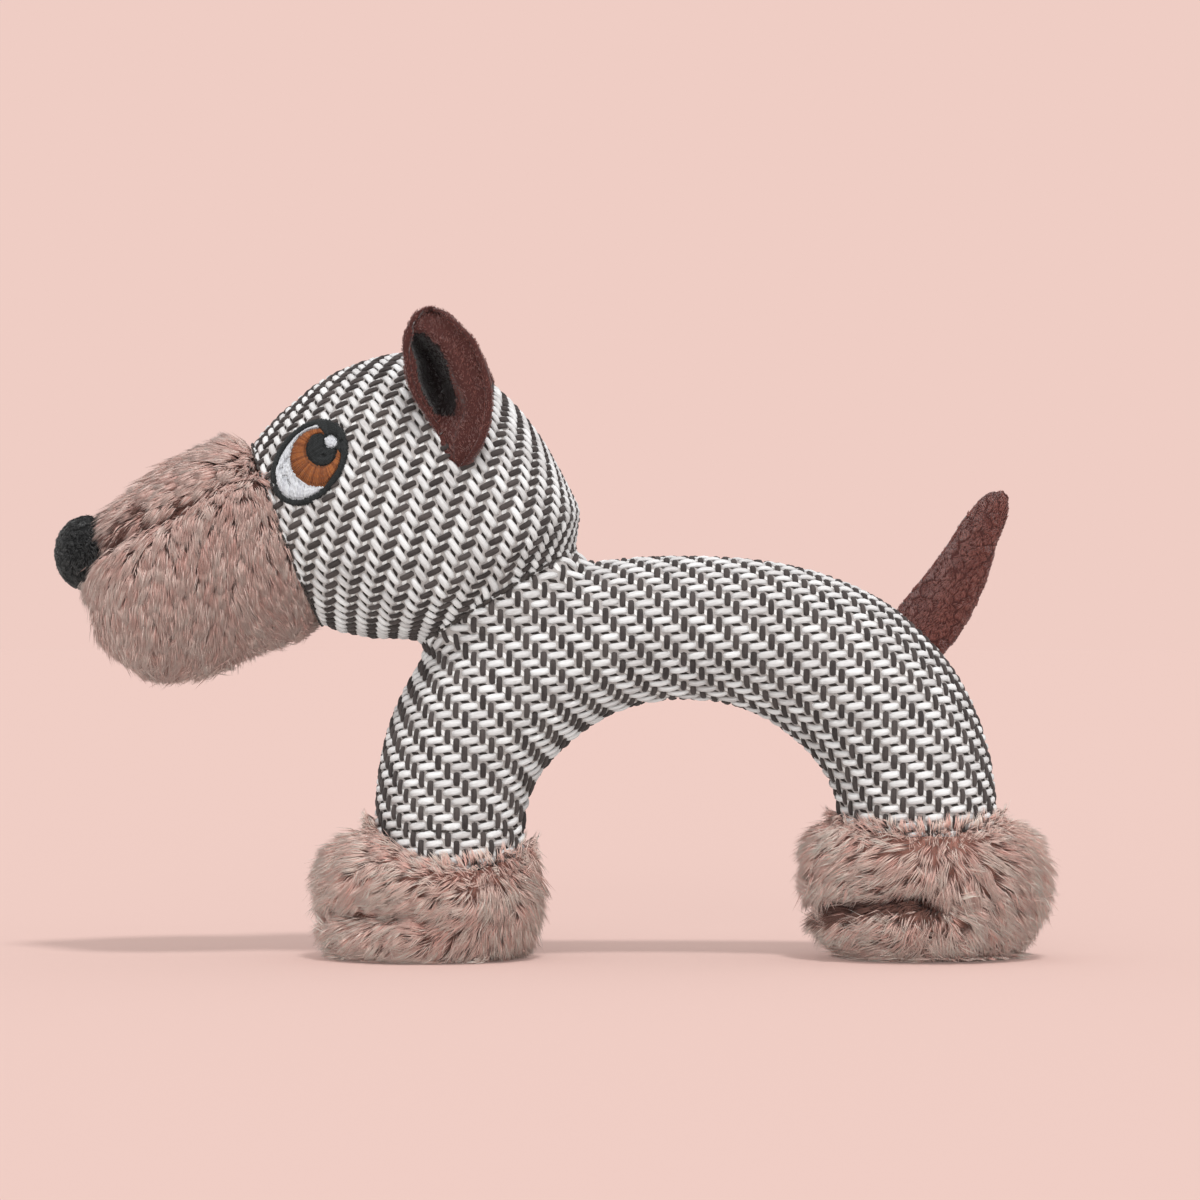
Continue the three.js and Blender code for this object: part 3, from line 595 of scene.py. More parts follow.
def cells_of(finish):
    """The place on the map counted in cells, and a tone for each cell."""
    place = finish.node("ShaderNodeUVMap", {"uv_map": "OFBake"})
    cells = finish.node("ShaderNodeVectorMath", {"operation": "MULTIPLY"}, {0: place, 1: (CELLS, CELLS, 0)})
    cell = finish.node("ShaderNodeVectorMath", {"operation": "FLOOR"}, {0: cells})
    return cells, finish.node("ShaderNodeTexWhiteNoise", {"noise_dimensions": "2D"}, {"Vector": cell})


def yarn(name, dark, light, fuzz):
    """Wool yarn: its fibres run along it, and each length has a tone of its own."""
    finish = Finish(name, {"Roughness": 0.95, "Sheen Weight": fuzz, "Sheen Roughness": 0.5,
                           "Specular IOR Level": 0.2})
    cells, tone = cells_of(finish)
    drawn = finish.node("ShaderNodeVectorMath", {"operation": "MULTIPLY"}, {0: cells, 1: (9, 2.2, 0)})
    fibres = finish.mottle(1.0, 3, drawn)
    finish.feed("Base Color", (tone * 0.5 + fibres * 0.9 - 0.02).between(paint(*dark), paint(*light)))
    finish.emboss(fibres, 0.25 * MM)
    return finish


def striped(count, half):
    """Where a count of yarns is this near to the middle between two whole numbers."""
    return (count.part() - 0.5).size() < half


tweed_ground = Finish("tweed_ground", {"Roughness": 1.0, "Specular IOR Level": 0.1})
place = tweed_ground.node("ShaderNodeUVMap", {"uv_map": "OFBake"})
across, level = (tweed_ground.node("ShaderNodeSeparateXYZ", None, {0: place}, k) for k in (0, 1))
warp_count = (across - CLOTH_LEFT) * (CLOTH_SPAN / WARP_PITCH)
weft_count = (level - CLOTH_LOW) * (CLOTH_SPAN / WEFT_PITCH)
# Painted shade: dark slits between the weft rows, where the gaps between the yarns look into the cloth.
painted_gap_shade = striped(weft_count, 0.17) * striped((warp_count + weft_count + 1.5) * 0.25, 0.13)
under_warps = striped(weft_count + 0.6, 0.34) * striped((warp_count + weft_count - 0.4) * 0.25, 0.08)
underside = under_warps.between(paint(188, 181, 178), paint(252, 249, 247))
tweed_ground.feed("Base Color", painted_gap_shade.between(underside, paint(62, 56, 54)))
TWEED = (yarn("white_weft", (186, 179, 177), (255, 254, 254), 0.15),
         yarn("dark_warp", (40, 35, 35), (92, 84, 82), 0.1), tweed_ground)


def tucked(name, shell):
    """Pushes a wad in where it stands out of its cover, which is drawn on the near side only."""
    tree = BVHTree.FromBMesh(shell)
    for vert in bpy.data.objects[name].data.vertices:
        flip = Vector((1, -1 if vert.co.y > 0 else 1, 1)) / MM
        spot = vert.co * flip
        near, out, _, _ = tree.find_nearest(spot)
        if (spot - near).dot(out) > -COVER_THICKNESS:
            spot = near - out * COVER_THICKNESS
            vert.co = Vector((spot.x / flip.x, spot.y / flip.y, spot.z / flip.z))


def body_tube(along, around):
    length = (1 + 2 * LEG_RUN) * along - LEG_RUN
    share = clamped(length)
    centre = arch(share) - Vector((0, 0, LEG_TUCK * min(1, abs(length - share) / LEG_RUN)))
    radius = girth(share) - YARN_CROWN
    c, s = turned(around)
    return centre + arch_out(share) * (radius * c) + NEAR * (radius * BODY_DEPTH * s)


neck_centre = arch(NECK_AT) + neck_out * NECK_REACH


def neck_tube(along, around):
    share = min(along * NECK_FLARE, 1)
    centre = neck_centre + neck_out * (NECK_DEPTH * (along * NECK_FLARE - 1))
    c, s = turned(around)
    long, wide = (NECK_FOOT + (half - NECK_FOOT) * share - YARN_CROWN
                  for half in (NECK_HALF_LENGTH, NECK_HALF_WIDTH))
    return centre + neck_front * (long * c) + NEAR * (wide * s)


body_shell = eased(remeshed(CLOTH_GRAIN, sleeve(90, 40, body_tube), sleeve(12, 40, neck_tube)), 8)
trimmed(body_shell, neck_centre, neck_out)
halved(body_shell)
trimmed(body_shell, (0, 0, LEG_SEAM - LEG_TUCK + 0.6), (0, 0, -1))
middle_seam = from_plane(Vector(), NEAR)
neck_seam = from_plane(neck_centre, neck_out)
drawn_in(body_shell, neck_seam)
drawn_in(body_shell, middle_seam)
for node in FILLING["body"]:
    if "paw" not in node:
        tucked(node.replace("filling", "wad"), body_shell)
body_panels = paired("tweed_body_*", "body_panel_*", woven(body_shell, 0.0, 11), TWEED)
for panel in body_panels.values():
    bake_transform(panel)

# Seams of the body: dark thread in short stitches, sunk between the edges of the two panels, round the neck
# and round each leg where the fur of the foot begins.

STITCH_PITCH = 2.7
STITCH_HALF = (1.2, 0.36, 0.32)
STITCH_SINK = 1.0
STITCH_END = 0.25
STITCH_CROWN = 0.12
BODY_SEAMS = (("belly", 0.035, 0.965, -1), ("spine", 0.455, 0.965, 1), ("chest", 0.035, 0.13, 1))
LEGS = (("front_paw", 0), ("rear_paw", 1))
ACROSS = Vector((1, 0, 0))
stitch_shape = spindle(6, 4)


def thread(name, dark, light, rough=0.7):
    """Twisted thread, with a tone for each stitch and its strands across it."""
    finish = Finish(name, {"Roughness": rough, "Sheen Weight": 0.1, "Specular IOR Level": 0.3})
    cells, tone = cells_of(finish)
    twist = finish.node("ShaderNodeTexWave", {"bands_direction": "DIAGONAL"},
                        {"Vector": cells, "Scale": 2.5, "Distortion": 0.5})
    finish.feed("Base Color", (tone * 0.7 + twist * 0.3).between(paint(*dark), paint(*light)))
    finish.emboss(twist, 0.08 * MM)
    return finish


seam_thread = thread("seam_thread", (52, 46, 43), (86, 78, 74))


def run_of(line):
    """How far along a line each of its points is."""
    return np.concatenate([[0], np.cumsum(np.linalg.norm(np.diff(line, axis=0), axis=1))])


def stitched(name, body, spots, outs):
    """A row of stitches along a seam that these points follow."""
    spots, outs = np.array(spots), np.array(outs)
    run = run_of(spots)
    count = int(run[-1] / STITCH_PITCH)
    middles = (np.arange(count) + 0.5) * run[-1] / count

    def at(values, places):
        return np.stack([np.interp(places, run, values[:, k]) for k in range(3)], 1)

    up = at(outs, middles)
    half, wide, tall = STITCH_HALF
    line = (at(spots, middles - half) - up * STITCH_END, at(spots, middles) + up * STITCH_CROWN,
            at(spots, middles + half) - up * STITCH_END)
    stitches = strewn(stitch_shape, line, up, wide, tall, (0, CELLS), np.random.default_rng(5))
    fitted(gathered(f"{name}_stitches", [stitches], (seam_thread,)), f"{name}_thread", body)


def seam_ring(centre, first, second, first_half, second_half):
    spots, outs = [], []
    for i in range(81):
        c, s = turned(i / 80)
        spots.append(centre + first * (first_half * c) + second * (second_half * s))
        outs.append((first * c + second * s).normalized())
    return spots, outs


for name, first, last, side in BODY_SEAMS:
    shares = np.linspace(first, last, 60)
    stitched(name, "body", [arch(s) + arch_out(s) * (side * (girth(s) - STITCH_SINK)) for s in shares],
             [arch_out(s) * side for s in shares])
stitched("neck", "body", *seam_ring(neck_centre, neck_front, NEAR, NECK_HALF_LENGTH - 2 * STITCH_SINK,
                                    NECK_HALF_WIDTH - STITCH_SINK))
for name, share in LEGS:
    stitched(name, "body", *seam_ring(arch(share), ACROSS, NEAR, girth(share) - STITCH_SINK,
                                      girth(share) * BODY_DEPTH - STITCH_SINK))

# Feet: long-pile fur cloth, a round wall that is sewn to the leg at its cuff and pushed in along a crease,
# and a flat sole. The pile stands up at the cuff, falls over the crease and spreads out below it.

CUFF_TOP = 39.5
CUFF_TRIM = 0.5
BACKING_TRIM = 2.5
CLOSE_FROM = 6.0
CLOSE_OVER = 5.5
WALL_LOW = 0.7
SHIFT_FROM = 22.0
SHIFT_OVER = 20.0
FOOT_HAIRS = 30000
SOLE_HAIRS = 5000
SOLE_CENTRE = 13.5
SOLE_LEVEL = 2.2
# Hair rows from this one up to the first skin row are painted in shade.
PAINTED_SHADE_ROW = 10
SKIN_ROW = 13
# Backing rows from this one on are painted in full shade, the skin rows below it in half shade.
PAINTED_SHADE_SKIN_ROW = 15
STRAYS = 0.06
ROOT_DEPTH = 0.4
BACKING = 0.8
hair_shape = spindle(3, 2, 0.8, 0.4)


def pelt(name, root, dark, light, deep, rough=0.8, sheen=0.15):
    """Pile that is darker at the root, with a tone for each hair, and its backing. Both have rows of the map
    painted in shade, for where they lie deep; the rest of the backing is painted in half shade."""
    finish = Finish(name, {"Roughness": rough, "Sheen Weight": sheen, "Sheen Roughness": 0.4,
                           "Specular IOR Level": 0.25})
    cells, tone = cells_of(finish)
    level = finish.node("ShaderNodeSeparateXYZ", None, {0: cells}, 1)
    is_hair = level < SKIN_ROW
    in_light = level < PAINTED_SHADE_SKIN_ROW
    tipped = finish.node("ShaderNodeMath", {"operation": "POWER", "use_clamp": True},
                         {0: level.part() * is_hair * 1.25, 1: 0.7})
    hair = tipped.between(paint(*root), tone.between(paint(*dark), paint(*light)))
    # Painted shade: full on the deep hair rows and the deepest backing rows, half on the other backing rows,
    # none on other hairs.
    painted_shade = is_hair * (1 - (level < PAINTED_SHADE_ROW)) + (1 - in_light) + in_light * 0.5 * (1 - is_hair)
    finish.feed("Base Color", (painted_shade * 0.95).between(hair, paint(*deep)))
    return finish


def scattered(skin, count, draw):
    """Points spread evenly over a skin, with its normals and its area."""
    mesh = skin.copy()
    bmesh.ops.triangulate(mesh, faces=mesh.faces)
    mesh.normal_update()
    corners = np.array([[vert.co for vert in face.verts] for face in mesh.faces])
    normals = np.array([[vert.normal for vert in face.verts] for face in mesh.faces])
    mesh.free()
    sides = np.cross(corners[:, 1] - corners[:, 0], corners[:, 2] - corners[:, 0])
    areas = np.linalg.norm(sides, axis=1) / 2
    chosen = draw.choice(len(areas), count, p=areas / areas.sum())
    first, second = draw.random(count), draw.random(count)
    over = first + second > 1
    first[over], second[over] = 1 - first[over], 1 - second[over]
    shares = np.stack([1 - first - second, first, second], 1)
    spots, outs = (np.einsum("nk,nkj->nj", shares, values[chosen]) for values in (corners, normals))
    return spots, outs / np.linalg.norm(outs, axis=1, keepdims=True), areas.sum()


def clouds(spots, scale):
    return np.array([noise.noise(Vector(spot) * scale) for spot in spots])


def told(value, spots):
    return value(spots) if callable(value) else value


def combed(skin, count, brush, length, lift, seed, tuft=2.0, pull=0.6, wide=0.15, wander=0.2, swirl=0.4,
           droop=0.0, stiff=0.3, floor=None, deep=None):
    """Pile rooted all over a skin and brushed along it, its hairs drawn together in tufts."""
    draw = np.random.default_rng(seed)
    spots, outs, area = scattered(skin, count, draw)
    heads = draw.choice(count, max(2, int(area / tuft ** 2)), replace=False)
    tree = tree_of(spots[heads])
    own = heads[[tree.find(spot)[1] for spot in spots]]
    stray = draw.random(count) < STRAYS
    lay = unit(told(brush, spots)) + draw.normal(0, wander, (count, 3))[own]
    lay = lay + draw.normal(0, 0.08, (count, 3))
    lay = unit(lay - outs * (lay * outs).sum(1, keepdims=True))
    turn = swirl * clouds(spots, 0.11)[:, None]
    lay = lay * np.cos(turn) + np.cross(outs, lay) * np.sin(turn)
    reach = told(length, spots) * draw.uniform(0.82, 1.1, count) * draw.uniform(0.85, 1.12, count)[own]
    rise = told(lift, spots) * draw.uniform(0.8, 1.2, count) * draw.uniform(0.75, 1.3, count)[own]
    rise = (rise + 0.3 * stray)[:, None]
    first, second = (outs * np.sin(angle) + lay * np.cos(angle) for angle in (rise, rise * stiff))
    second = unit(second - np.array([0, 0, droop]))
    middles = spots + first * (reach * 0.5)[:, None]
    tips = middles + second * (reach * 0.5)[:, None]
    gather = pull * (~stray)[:, None]
    tips = tips + (tips[own] - tips) * gather
    middles = middles + (middles[own] - middles) * (gather * 0.4)
    if floor is not None:
        middles[:, 2] = np.maximum(middles[:, 2], floor + 0.3)
        tips[:, 2] = np.maximum(tips[:, 2], floor + draw.uniform(0.2, 1.2, count))
    girths = wide * draw.uniform(0.75, 1.25, count)
    # Hairs where deep is true take the rows painted in shade, and share a cell only with kin in the same
    # shade.
    lie = deep(spots) if deep else np.zeros(count, bool)
    rows = np.where(lie, PAINTED_SHADE_ROW, 0), np.where(lie, SKIN_ROW, PAINTED_SHADE_ROW)
    return strewn(hair_shape, (spots - outs * ROOT_DEPTH, middles, tips), outs, girths, girths, rows, draw,
                  kin=np.where(lie[own] == lie, own, np.arange(count)))


def backing(skin, thickness=BACKING, deep=None):
    """The cloth under the pile, as a closed sheet on the last rows of the map, painted in half shade, or in
    full shade where deep says so.
    """
    sheet = thickened(skin, thickness) if thickness else skin.copy()
    points = np.array([vert.co for vert in sheet.verts])
    low, span = points.min(0), np.ptp(points, axis=0) + 1e-6

    def on_map(loop):
        x, y, z = (np.array(loop.vert.co) - low) / span
        rise = 0.1 + 0.6 * z + 0.2 * y
        in_painted_shade = deep and deep(np.array([loop.vert.co]))[0]
        row = PAINTED_SHADE_SKIN_ROW + rise if in_painted_shade else SKIN_ROW + 2 * rise
        return 0.02 + 0.9 * x + 0.05 * y, row / CELLS

    return batch_of(sheet, on_map)


# The last colour of each pelt is its painted shade, for hairs in creases and hollows and for the backing.
fur = pelt("long_fur", (178, 131, 119), (230, 184, 173), (255, 235, 225), (120, 82, 73))
# Painted light: the feet are the same fur cloth as the muzzle, painted lighter to offset the deeper shade
# they lie in.
foot_fur_painted_lighter = pelt("foot_fur_painted_lighter", (198, 145, 131), (248, 199, 187), (255, 245, 234), (130, 90, 79))


def cuff_of(x, leg, grip, cuff):
    """The height where the fur ends on the leg: at its sides, and how much higher before and behind it."""
    low, ahead, behind = cuff
    lean = (x - leg) / grip
    return low + np.where(lean < 0, ahead, behind) * np.minimum(lean ** 2, 1)


def crease_of(lean, crease):
    """The height of the foot's crease at a place from front to back, and how deep it is there."""
    height, depth, end, bow = crease
    share = np.clip((end - lean) / 0.35, 0, 1) * np.clip((lean + 1.25) / 0.5, 0, 1)
    return height + bow * np.exp(-((lean + 0.2) / 0.4) ** 2), depth * share


def foot_skin(leg, grip, half, shift, bulge, crease, cuff):
    """The cloth of the foot under its pile, set off from the leg, pushed in along its crease and closed on
    the leg at its cuff."""
    widest, below, above = bulge

    def place(along, around):
        z = WALL_LOW + (CUFF_TOP - WALL_LOW) * along
        lean, near = turned(around)
        high = z > widest
        power = 3 if high else 2
        full = max(1 - (abs(z - widest) / (above if high else below)) ** power, 0) ** (1 / power)
        line, depth = crease_of(lean, crease)
        pinch = depth * math.exp(-((z - line) / (1.8 + depth / 6)) ** 2)
        upper = clamped((z - SHIFT_FROM) / SHIFT_OVER)
        x = (half[0] * full - pinch) * lean + shift * (1 - upper * upper * (3 - 2 * upper))
        y = (half[1] * full - pinch) * abs(near)
        grip_x, grip_y = grip * lean, grip * BODY_DEPTH * abs(near)
        if high:
            x = math.copysign(max(x * math.copysign(1, lean), abs(grip_x)), lean)
            y = max(y, grip_y)
        shut = clamped((z - cuff_of(leg + grip_x, leg, grip, cuff) + CLOSE_FROM) / CLOSE_OVER) ** 2
        x += (grip_x - x) * shut
        y += (grip_y - y) * shut
        return Vector((leg + x, -math.copysign(y, near), z))

    skin = sleeve(40, 64, place)
    spare = [face for face in skin.faces if len(face.verts) > 4 or face.calc_center_median().z
             > cuff_of(face.calc_center_median().x, leg, grip, cuff) - CUFF_TRIM]
    bmesh.ops.delete(skin, geom=spare, context="FACES")
    skin.normal_update()
    return skin


FEET = (((25.6, 23.5), -5.6, (15.0, 26.0, 20.5), (12.0, 4.2, 0.2, 0.0), (26.0, 11.0, 5.0), -17.0),
        ((28.7, 24.5), 2.0, (20.0, 24.0, 19.0), (14.0, 6.5, 0.35, 3.0), (35.0, 3.5, 3.0), 99.0))
for (name, share), (half, shift, bulge, crease, cuff, parting) in zip(LEGS, FEET):
    leg, grip = arch(share).x, girth(share) + 0.3
    skin = foot_skin(leg, grip, half, shift, bulge, crease, cuff)
    chance = np.random.default_rng(41 + share)

    def below_cuff(spots):
        return cuff_of(spots[:, 0], leg, grip, cuff) - spots[:, 2]

    def fold(spots):
        """How far these points are above the crease, and how deep it is there."""
        line, depth = crease_of((spots[:, 0] - leg - shift) / half[0], crease)
        return spots[:, 2] - line, depth

    def hang(spots):
        """The wall's pile hangs, and by chance stands up near the cuff; below the crease it spreads out."""
        x, y, z = spots.T
        below = below_cuff(spots)
        rising = np.clip(0.9 - below / 7, 0, 1) * np.clip(1.2 - ((x - leg) / grip) ** 2, 0.1, 1)
        down = np.where(chance.random(len(spots)) < rising, -14, 5 + 0.45 * below)
        wall = np.stack([x - parting, y * 0.4, -down], 1)
        sole = np.stack([x - parting, y * 0.6, z - SOLE_CENTRE - 5], 1)
        over, depth = fold(spots)
        return np.where(((over > 0) | (depth < 1))[:, None], wall, sole)

    def reach(spots):
        over, depth = fold(spots)
        wall = 4.4 + 4.6 * np.clip(below_cuff(spots) / 8, 0, 1)
        short = 4.5 + 0.45 * np.abs(over) + 5 * (1 - depth / crease[1])
        return np.where(over > 0, np.minimum(wall, short), 8.5)

    def puffed(spots):
        return 0.5 + 0.15 * np.exp(-(below_cuff(spots) / 4) ** 2)

    # Painted shade: the pile and backing in a deep crease, below its line and just above it.
    def painted_crease_shade(spots):
        over, depth = fold(spots)
        return (depth > 5) & (over > -3.2) & (over < 0.6)

    hair = combed(skin, FOOT_HAIRS, hang, reach, puffed, 21 + share, tuft=1.7, pull=0.42, swirl=0.9,
                  stiff=0.6, floor=0.0, deep=painted_crease_shade)
    below = below_cuff(np.array([face.calc_center_median() for face in skin.faces]))
    edge = [face for face, drop in zip(skin.faces, below) if drop < BACKING_TRIM]
    bmesh.ops.delete(skin, geom=edge, context="FACES")
    wall = gathered(f"fur_{name}", [hair, backing(skin, BACKING, painted_crease_shade)], (foot_fur_painted_lighter,))
    fitted(wall, f"{name}_cover", "body")
    low, high = (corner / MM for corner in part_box(f"{name}_sole"))
    middle = (low + high) / 2
    disc = bmesh.new()
    bmesh.ops.create_circle(disc, cap_ends=True, segments=48, radius=1)
    bmesh.ops.scale(disc, vec=((high.x - low.x) / 2, (high.y - low.y) / 2, 1), verts=disc.verts)
    bmesh.ops.inset_region(disc, faces=disc.faces[:], thickness=5, use_even_offset=True)
    bmesh.ops.translate(disc, verts=disc.verts, vec=(middle.x, middle.y, SOLE_LEVEL))
    bmesh.ops.reverse_faces(disc, faces=disc.faces)
    disc.normal_update()
    spread = combed(disc, SOLE_HAIRS, lambda spots: spots - np.array(middle), 6.0, 0.3, 31 + share,
                    wander=0.4, floor=0.0)
    sole = gathered(f"fur_{name}_sole", [spread, backing(disc)], (foot_fur_painted_lighter,))
    fitted(sole, f"{name}_sole", "body")

# Tail: two panels of short-pile velvet sewn along the front and back edges and turned out, stuffed, and sewn
# into the spine.

TAIL_AT = 0.769
TAIL_LENGTH = 41.0
TAIL_HALF_WIDTH = 8.75
TAIL_HALF_DEPTH = 5.25
TAIL_SINK = 4.0
TAIL_LEAN = math.radians(14)
TAIL_PILE = 0.5
TAIL_HAIRS = 13500
TAIL_GIVE = (-1, 9)
VELVET_BACKING = 0.6
TAIL_SHAPE = ((0, 1, 1), (0.2, 1, 1), (0.42, 0.9, 0.95), (0.64, 0.74, 0.84), (0.82, 0.6, 0.72),
              (0.93, 0.47, 0.57), (0.985, 0.25, 0.3), (1, 0.02, 0.02))
# Its last colour is the painted shade in the hollow of each ear and, half way, on the backing.
velvet = pelt("velvet", (106, 55, 49), (125, 68, 61), (160, 99, 88), (12, 7, 8), 0.75, 0.4)
tail_out = arch_out(TAIL_AT)
tail_root = arch(TAIL_AT) + tail_out * girth(TAIL_AT)
tail_along = Vector((tail_out.z, 0, -tail_out.x))
tail_tip = tail_root + Matrix.Rotation(-TAIL_LEAN, 3, "Y") @ tail_out * TAIL_LENGTH


def curve_through(table, share):
    """The row of a table at a share between its rows, on a smooth curve."""
    table = np.array(table, float)
    knots, rows = table[:, 0], table[:, 1:]
    last = len(knots) - 1
    step = int(np.clip(np.searchsorted(knots, share) - 1, 0, last - 1))
    slopes = []
    for k in (step, step + 1):
        before, after = max(k - 1, 0), min(k + 1, last)
        slopes.append((rows[after] - rows[before]) / (knots[after] - knots[before]))
    width = knots[step + 1] - knots[step]
    t = (share - knots[step]) / width
    return ((1 + 2 * t) * (1 - t) ** 2 * rows[step] + t * (1 - t) ** 2 * width * slopes[0]
            + t * t * (3 - 2 * t) * rows[step + 1] + t * t * (t - 1) * width * slopes[1])


def tail_tube(along, around):
    wide, deep = curve_through(TAIL_SHAPE, along)
    length = along * (TAIL_LENGTH + TAIL_SINK) - TAIL_SINK
    turn = Matrix.Rotation(-TAIL_LEAN * clamped(length / TAIL_LENGTH + 0.3), 3, "Y")
    c, s = turned(around)
    wide, deep = TAIL_HALF_WIDTH * wide - TAIL_PILE, TAIL_HALF_DEPTH * deep - TAIL_PILE
    return tail_root + turn @ tail_out * length + turn @ tail_along * (wide * c) + NEAR * (deep * s)


tail_skin = sleeve(56, 44, tail_tube)
halved(tail_skin)
drawn_in(tail_skin, middle_seam, 1.5, 0.5)
tail_pile = combed(tail_skin, TAIL_HAIRS, lambda spots: np.array(tail_tip) - spots, 1.2, 0.45, 41, tuft=1.8,
                   pull=0.25, wide=0.1, wander=0.35)
tail_cloth = [tail_pile, backing(tail_skin, VELVET_BACKING)]
for panel in paired("velvet_tail_*", "tail_panel_*", tail_cloth, (velvet,)).values():
    start, end = ((tail_root + tail_out * at) * MM for at in TAIL_GIVE)
    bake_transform(panel)
    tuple(start)
    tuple(end)

# Head cover: a tweed panel on each side, cut so that the yarns slant, sewn over the crown and under the chin,
# and taken in by a dart that runs down behind the ear.

HEAD_TILT = math.radians(21)
HEAD_LENGTH = 73.8
HEAD_HALF_HEIGHT = 38.2
HEAD_HALF_WIDTH = 32.2
HEAD_NECK = Vector((45.6, 0, -34.4))
HEAD_SECTIONS = ((0, 0, 0.686, 0.745), (0.07, -0.02, 0.765, 0.81), (0.15, -0.034, 0.845, 0.875),
                 (0.352, -0.16, 1.085, 0.985), (0.599, -0.238, 1.14, 1), (0.775, -0.278, 1.02, 0.93),
                 (0.898, -0.366, 0.75, 0.72), (0.965, -0.49, 0.495, 0.5), (1, -0.59, 0.12, 0.14))
HEAD_TURN = math.radians(-63)
EYE_CENTRE = (13.3, 14.2)
EYE_TURN = math.radians(33)
EYE_HALF = (12.0, 8.6)
EYE_OVERLAP = 0.8
DART = (Vector((-25, 0, 130)), Vector((-14, 0, 103)))
DART_WIDTH = 2.6
DART_SINK = 0.9
DART_SIDE = -8
NECK_FIT = 9.0
turn_head = Matrix.Rotation(-HEAD_TILT, 4, "Y")
head_place = Matrix.Translation(neck_centre - turn_head @ HEAD_NECK) @ turn_head
head_up = head_place.to_3x3() @ Vector((0, 0, 1))
head_back = (head_place.to_3x3() @ ACROSS).normalized()
muzzle_seam = head_place.translation


def section_tube(table, length, half_height, half_width, inset, way, before):
    """A tube through sections, each a share of the length with its rise, height and width."""
    def place(along, around):
        share = along * (1 + before) - before
        rise, tall, wide = curve_through(table, max(share, 0))
        c, s = turned(around)
        return head_place @ Vector((way * share * (length - inset), -max(wide * half_width - inset, 0.3) * s,
                                    rise * half_height + max(tall * half_height - inset, 0.3) * c))
    return place


def eye_place(spots):
    """Places along and across the eye of points on the head."""
    back = head_place.inverted()
    local = spots @ np.array(back.to_3x3()).T + np.array(back.translation)
    x, z = local[:, 0] - EYE_CENTRE[0], local[:, 2] - EYE_CENTRE[1]
    c, s = math.cos(EYE_TURN), math.sin(EYE_TURN)
    return x * c + z * s, z * c - x * s


def in_eye(along, across, edge=0.0):
    return (along / (EYE_HALF[0] - edge)) ** 2 + (across / (EYE_HALF[1] - edge)) ** 2 < 1


def from_dart(spot):
    flat = Vector((spot.x, 0, spot.z))
    _, share = geometry.intersect_point_line(flat, *DART)
    return (flat - DART[0].lerp(DART[1], clamped(share))).length + (8 if spot.y > DART_SIDE else 0)


head_tube = section_tube(HEAD_SECTIONS, HEAD_LENGTH, HEAD_HALF_HEIGHT, HEAD_HALF_WIDTH, YARN_CROWN, 1, 0.08)
head_shell = eased(remeshed(CLOTH_GRAIN, sleeve(70, 56, head_tube)), 6)
trimmed(head_shell, neck_centre, -neck_out)
for vert in head_shell.verts:
    spot = vert.co - neck_centre
    high = spot.dot(neck_out)
    if high < NECK_FIT:
        long, wide = spot.dot(neck_front), spot.dot(NEAR)
        ratio = math.hypot(long / (NECK_HALF_LENGTH - YARN_CROWN), wide / (NECK_HALF_WIDTH - YARN_CROWN))
        share = (high / NECK_FIT) ** 2 * (3 - 2 * high / NECK_FIT)
        grow = min((1 + (ratio - 1) * share) / ratio, 1.03)
        vert.co = neck_centre + neck_out * high + neck_front * (long * grow) + NEAR * (wide * grow)
trimmed(head_shell, muzzle_seam, -head_back)
halved(head_shell)
for seam in (neck_seam, from_plane(muzzle_seam, head_back), middle_seam):
    drawn_in(head_shell, seam)
drawn_in(head_shell, from_dart, DART_WIDTH, DART_SINK)
tucked("head_wad", head_shell)
head_cloth = woven(head_shell, HEAD_TURN, 12, lambda spots: in_eye(*eye_place(spots), EYE_OVERLAP))
paired("tweed_head_*", "head_panel_*", head_cloth, TWEED, "head")


def head_edge(shares, side):
    spots = []
    for share in shares:
        rise, tall, _ = curve_through(HEAD_SECTIONS, share)
        height = rise * HEAD_HALF_HEIGHT + side * (tall * HEAD_HALF_HEIGHT - STITCH_SINK)
        spots.append(head_place @ Vector((share * (HEAD_LENGTH - STITCH_SINK), 0, height)))
    return spots, [head_up * side] * len(spots)


stitched("crown", "head", *head_edge(np.linspace(0.04, 0.965, 40), 1))
stitched("chin", "head", *head_edge(np.linspace(0.04, 0.15, 12), -1))
stitched("muzzle", "head", *seam_ring(muzzle_seam, head_up, NEAR,
                                      HEAD_SECTIONS[0][2] * HEAD_HALF_HEIGHT - STITCH_SINK,
                                      HEAD_SECTIONS[0][3] * HEAD_HALF_WIDTH - STITCH_SINK))

# Muzzle: long-pile fur in three panels. The top one is brushed towards the nose, and its locks fall over the
# crease on each side where the cheeks are sewn to it. The cheeks' pile hangs straight down.

MUZZLE_LENGTH = 55.6
MUZZLE_HALF_HEIGHT = 27.7
MUZZLE_HALF_WIDTH = 27.0
MUZZLE_CREASE = 18.5
MUZZLE_PILE = 2.8
MUZZLE_GRAIN = 1.6
MUZZLE_LIFT = 0.42
TOP_HAIRS = 24000
CHEEK_HAIRS = 29000
CREASE_DROP = math.radians(8)
CREASE_WIDTH = 5.0
CREASE_SINK = 3.0
FURROWS_FROM = -88.0
MUZZLE_SECTIONS = ((0, 0, 0.885, 0.86), (0.09, 0.036, 1, 0.97), (0.36, 0.06, 1, 1), (0.61, -0.01, 0.95, 0.98),
                   (0.81, -0.036, 0.816, 0.85), (0.935, -0.09, 0.523, 0.56), (1, -0.18, 0.14, 0.15))
crease_point = head_place @ Vector((0, 0, MUZZLE_CREASE))
crease_up = head_up * math.cos(CREASE_DROP) - head_back * math.sin(CREASE_DROP)
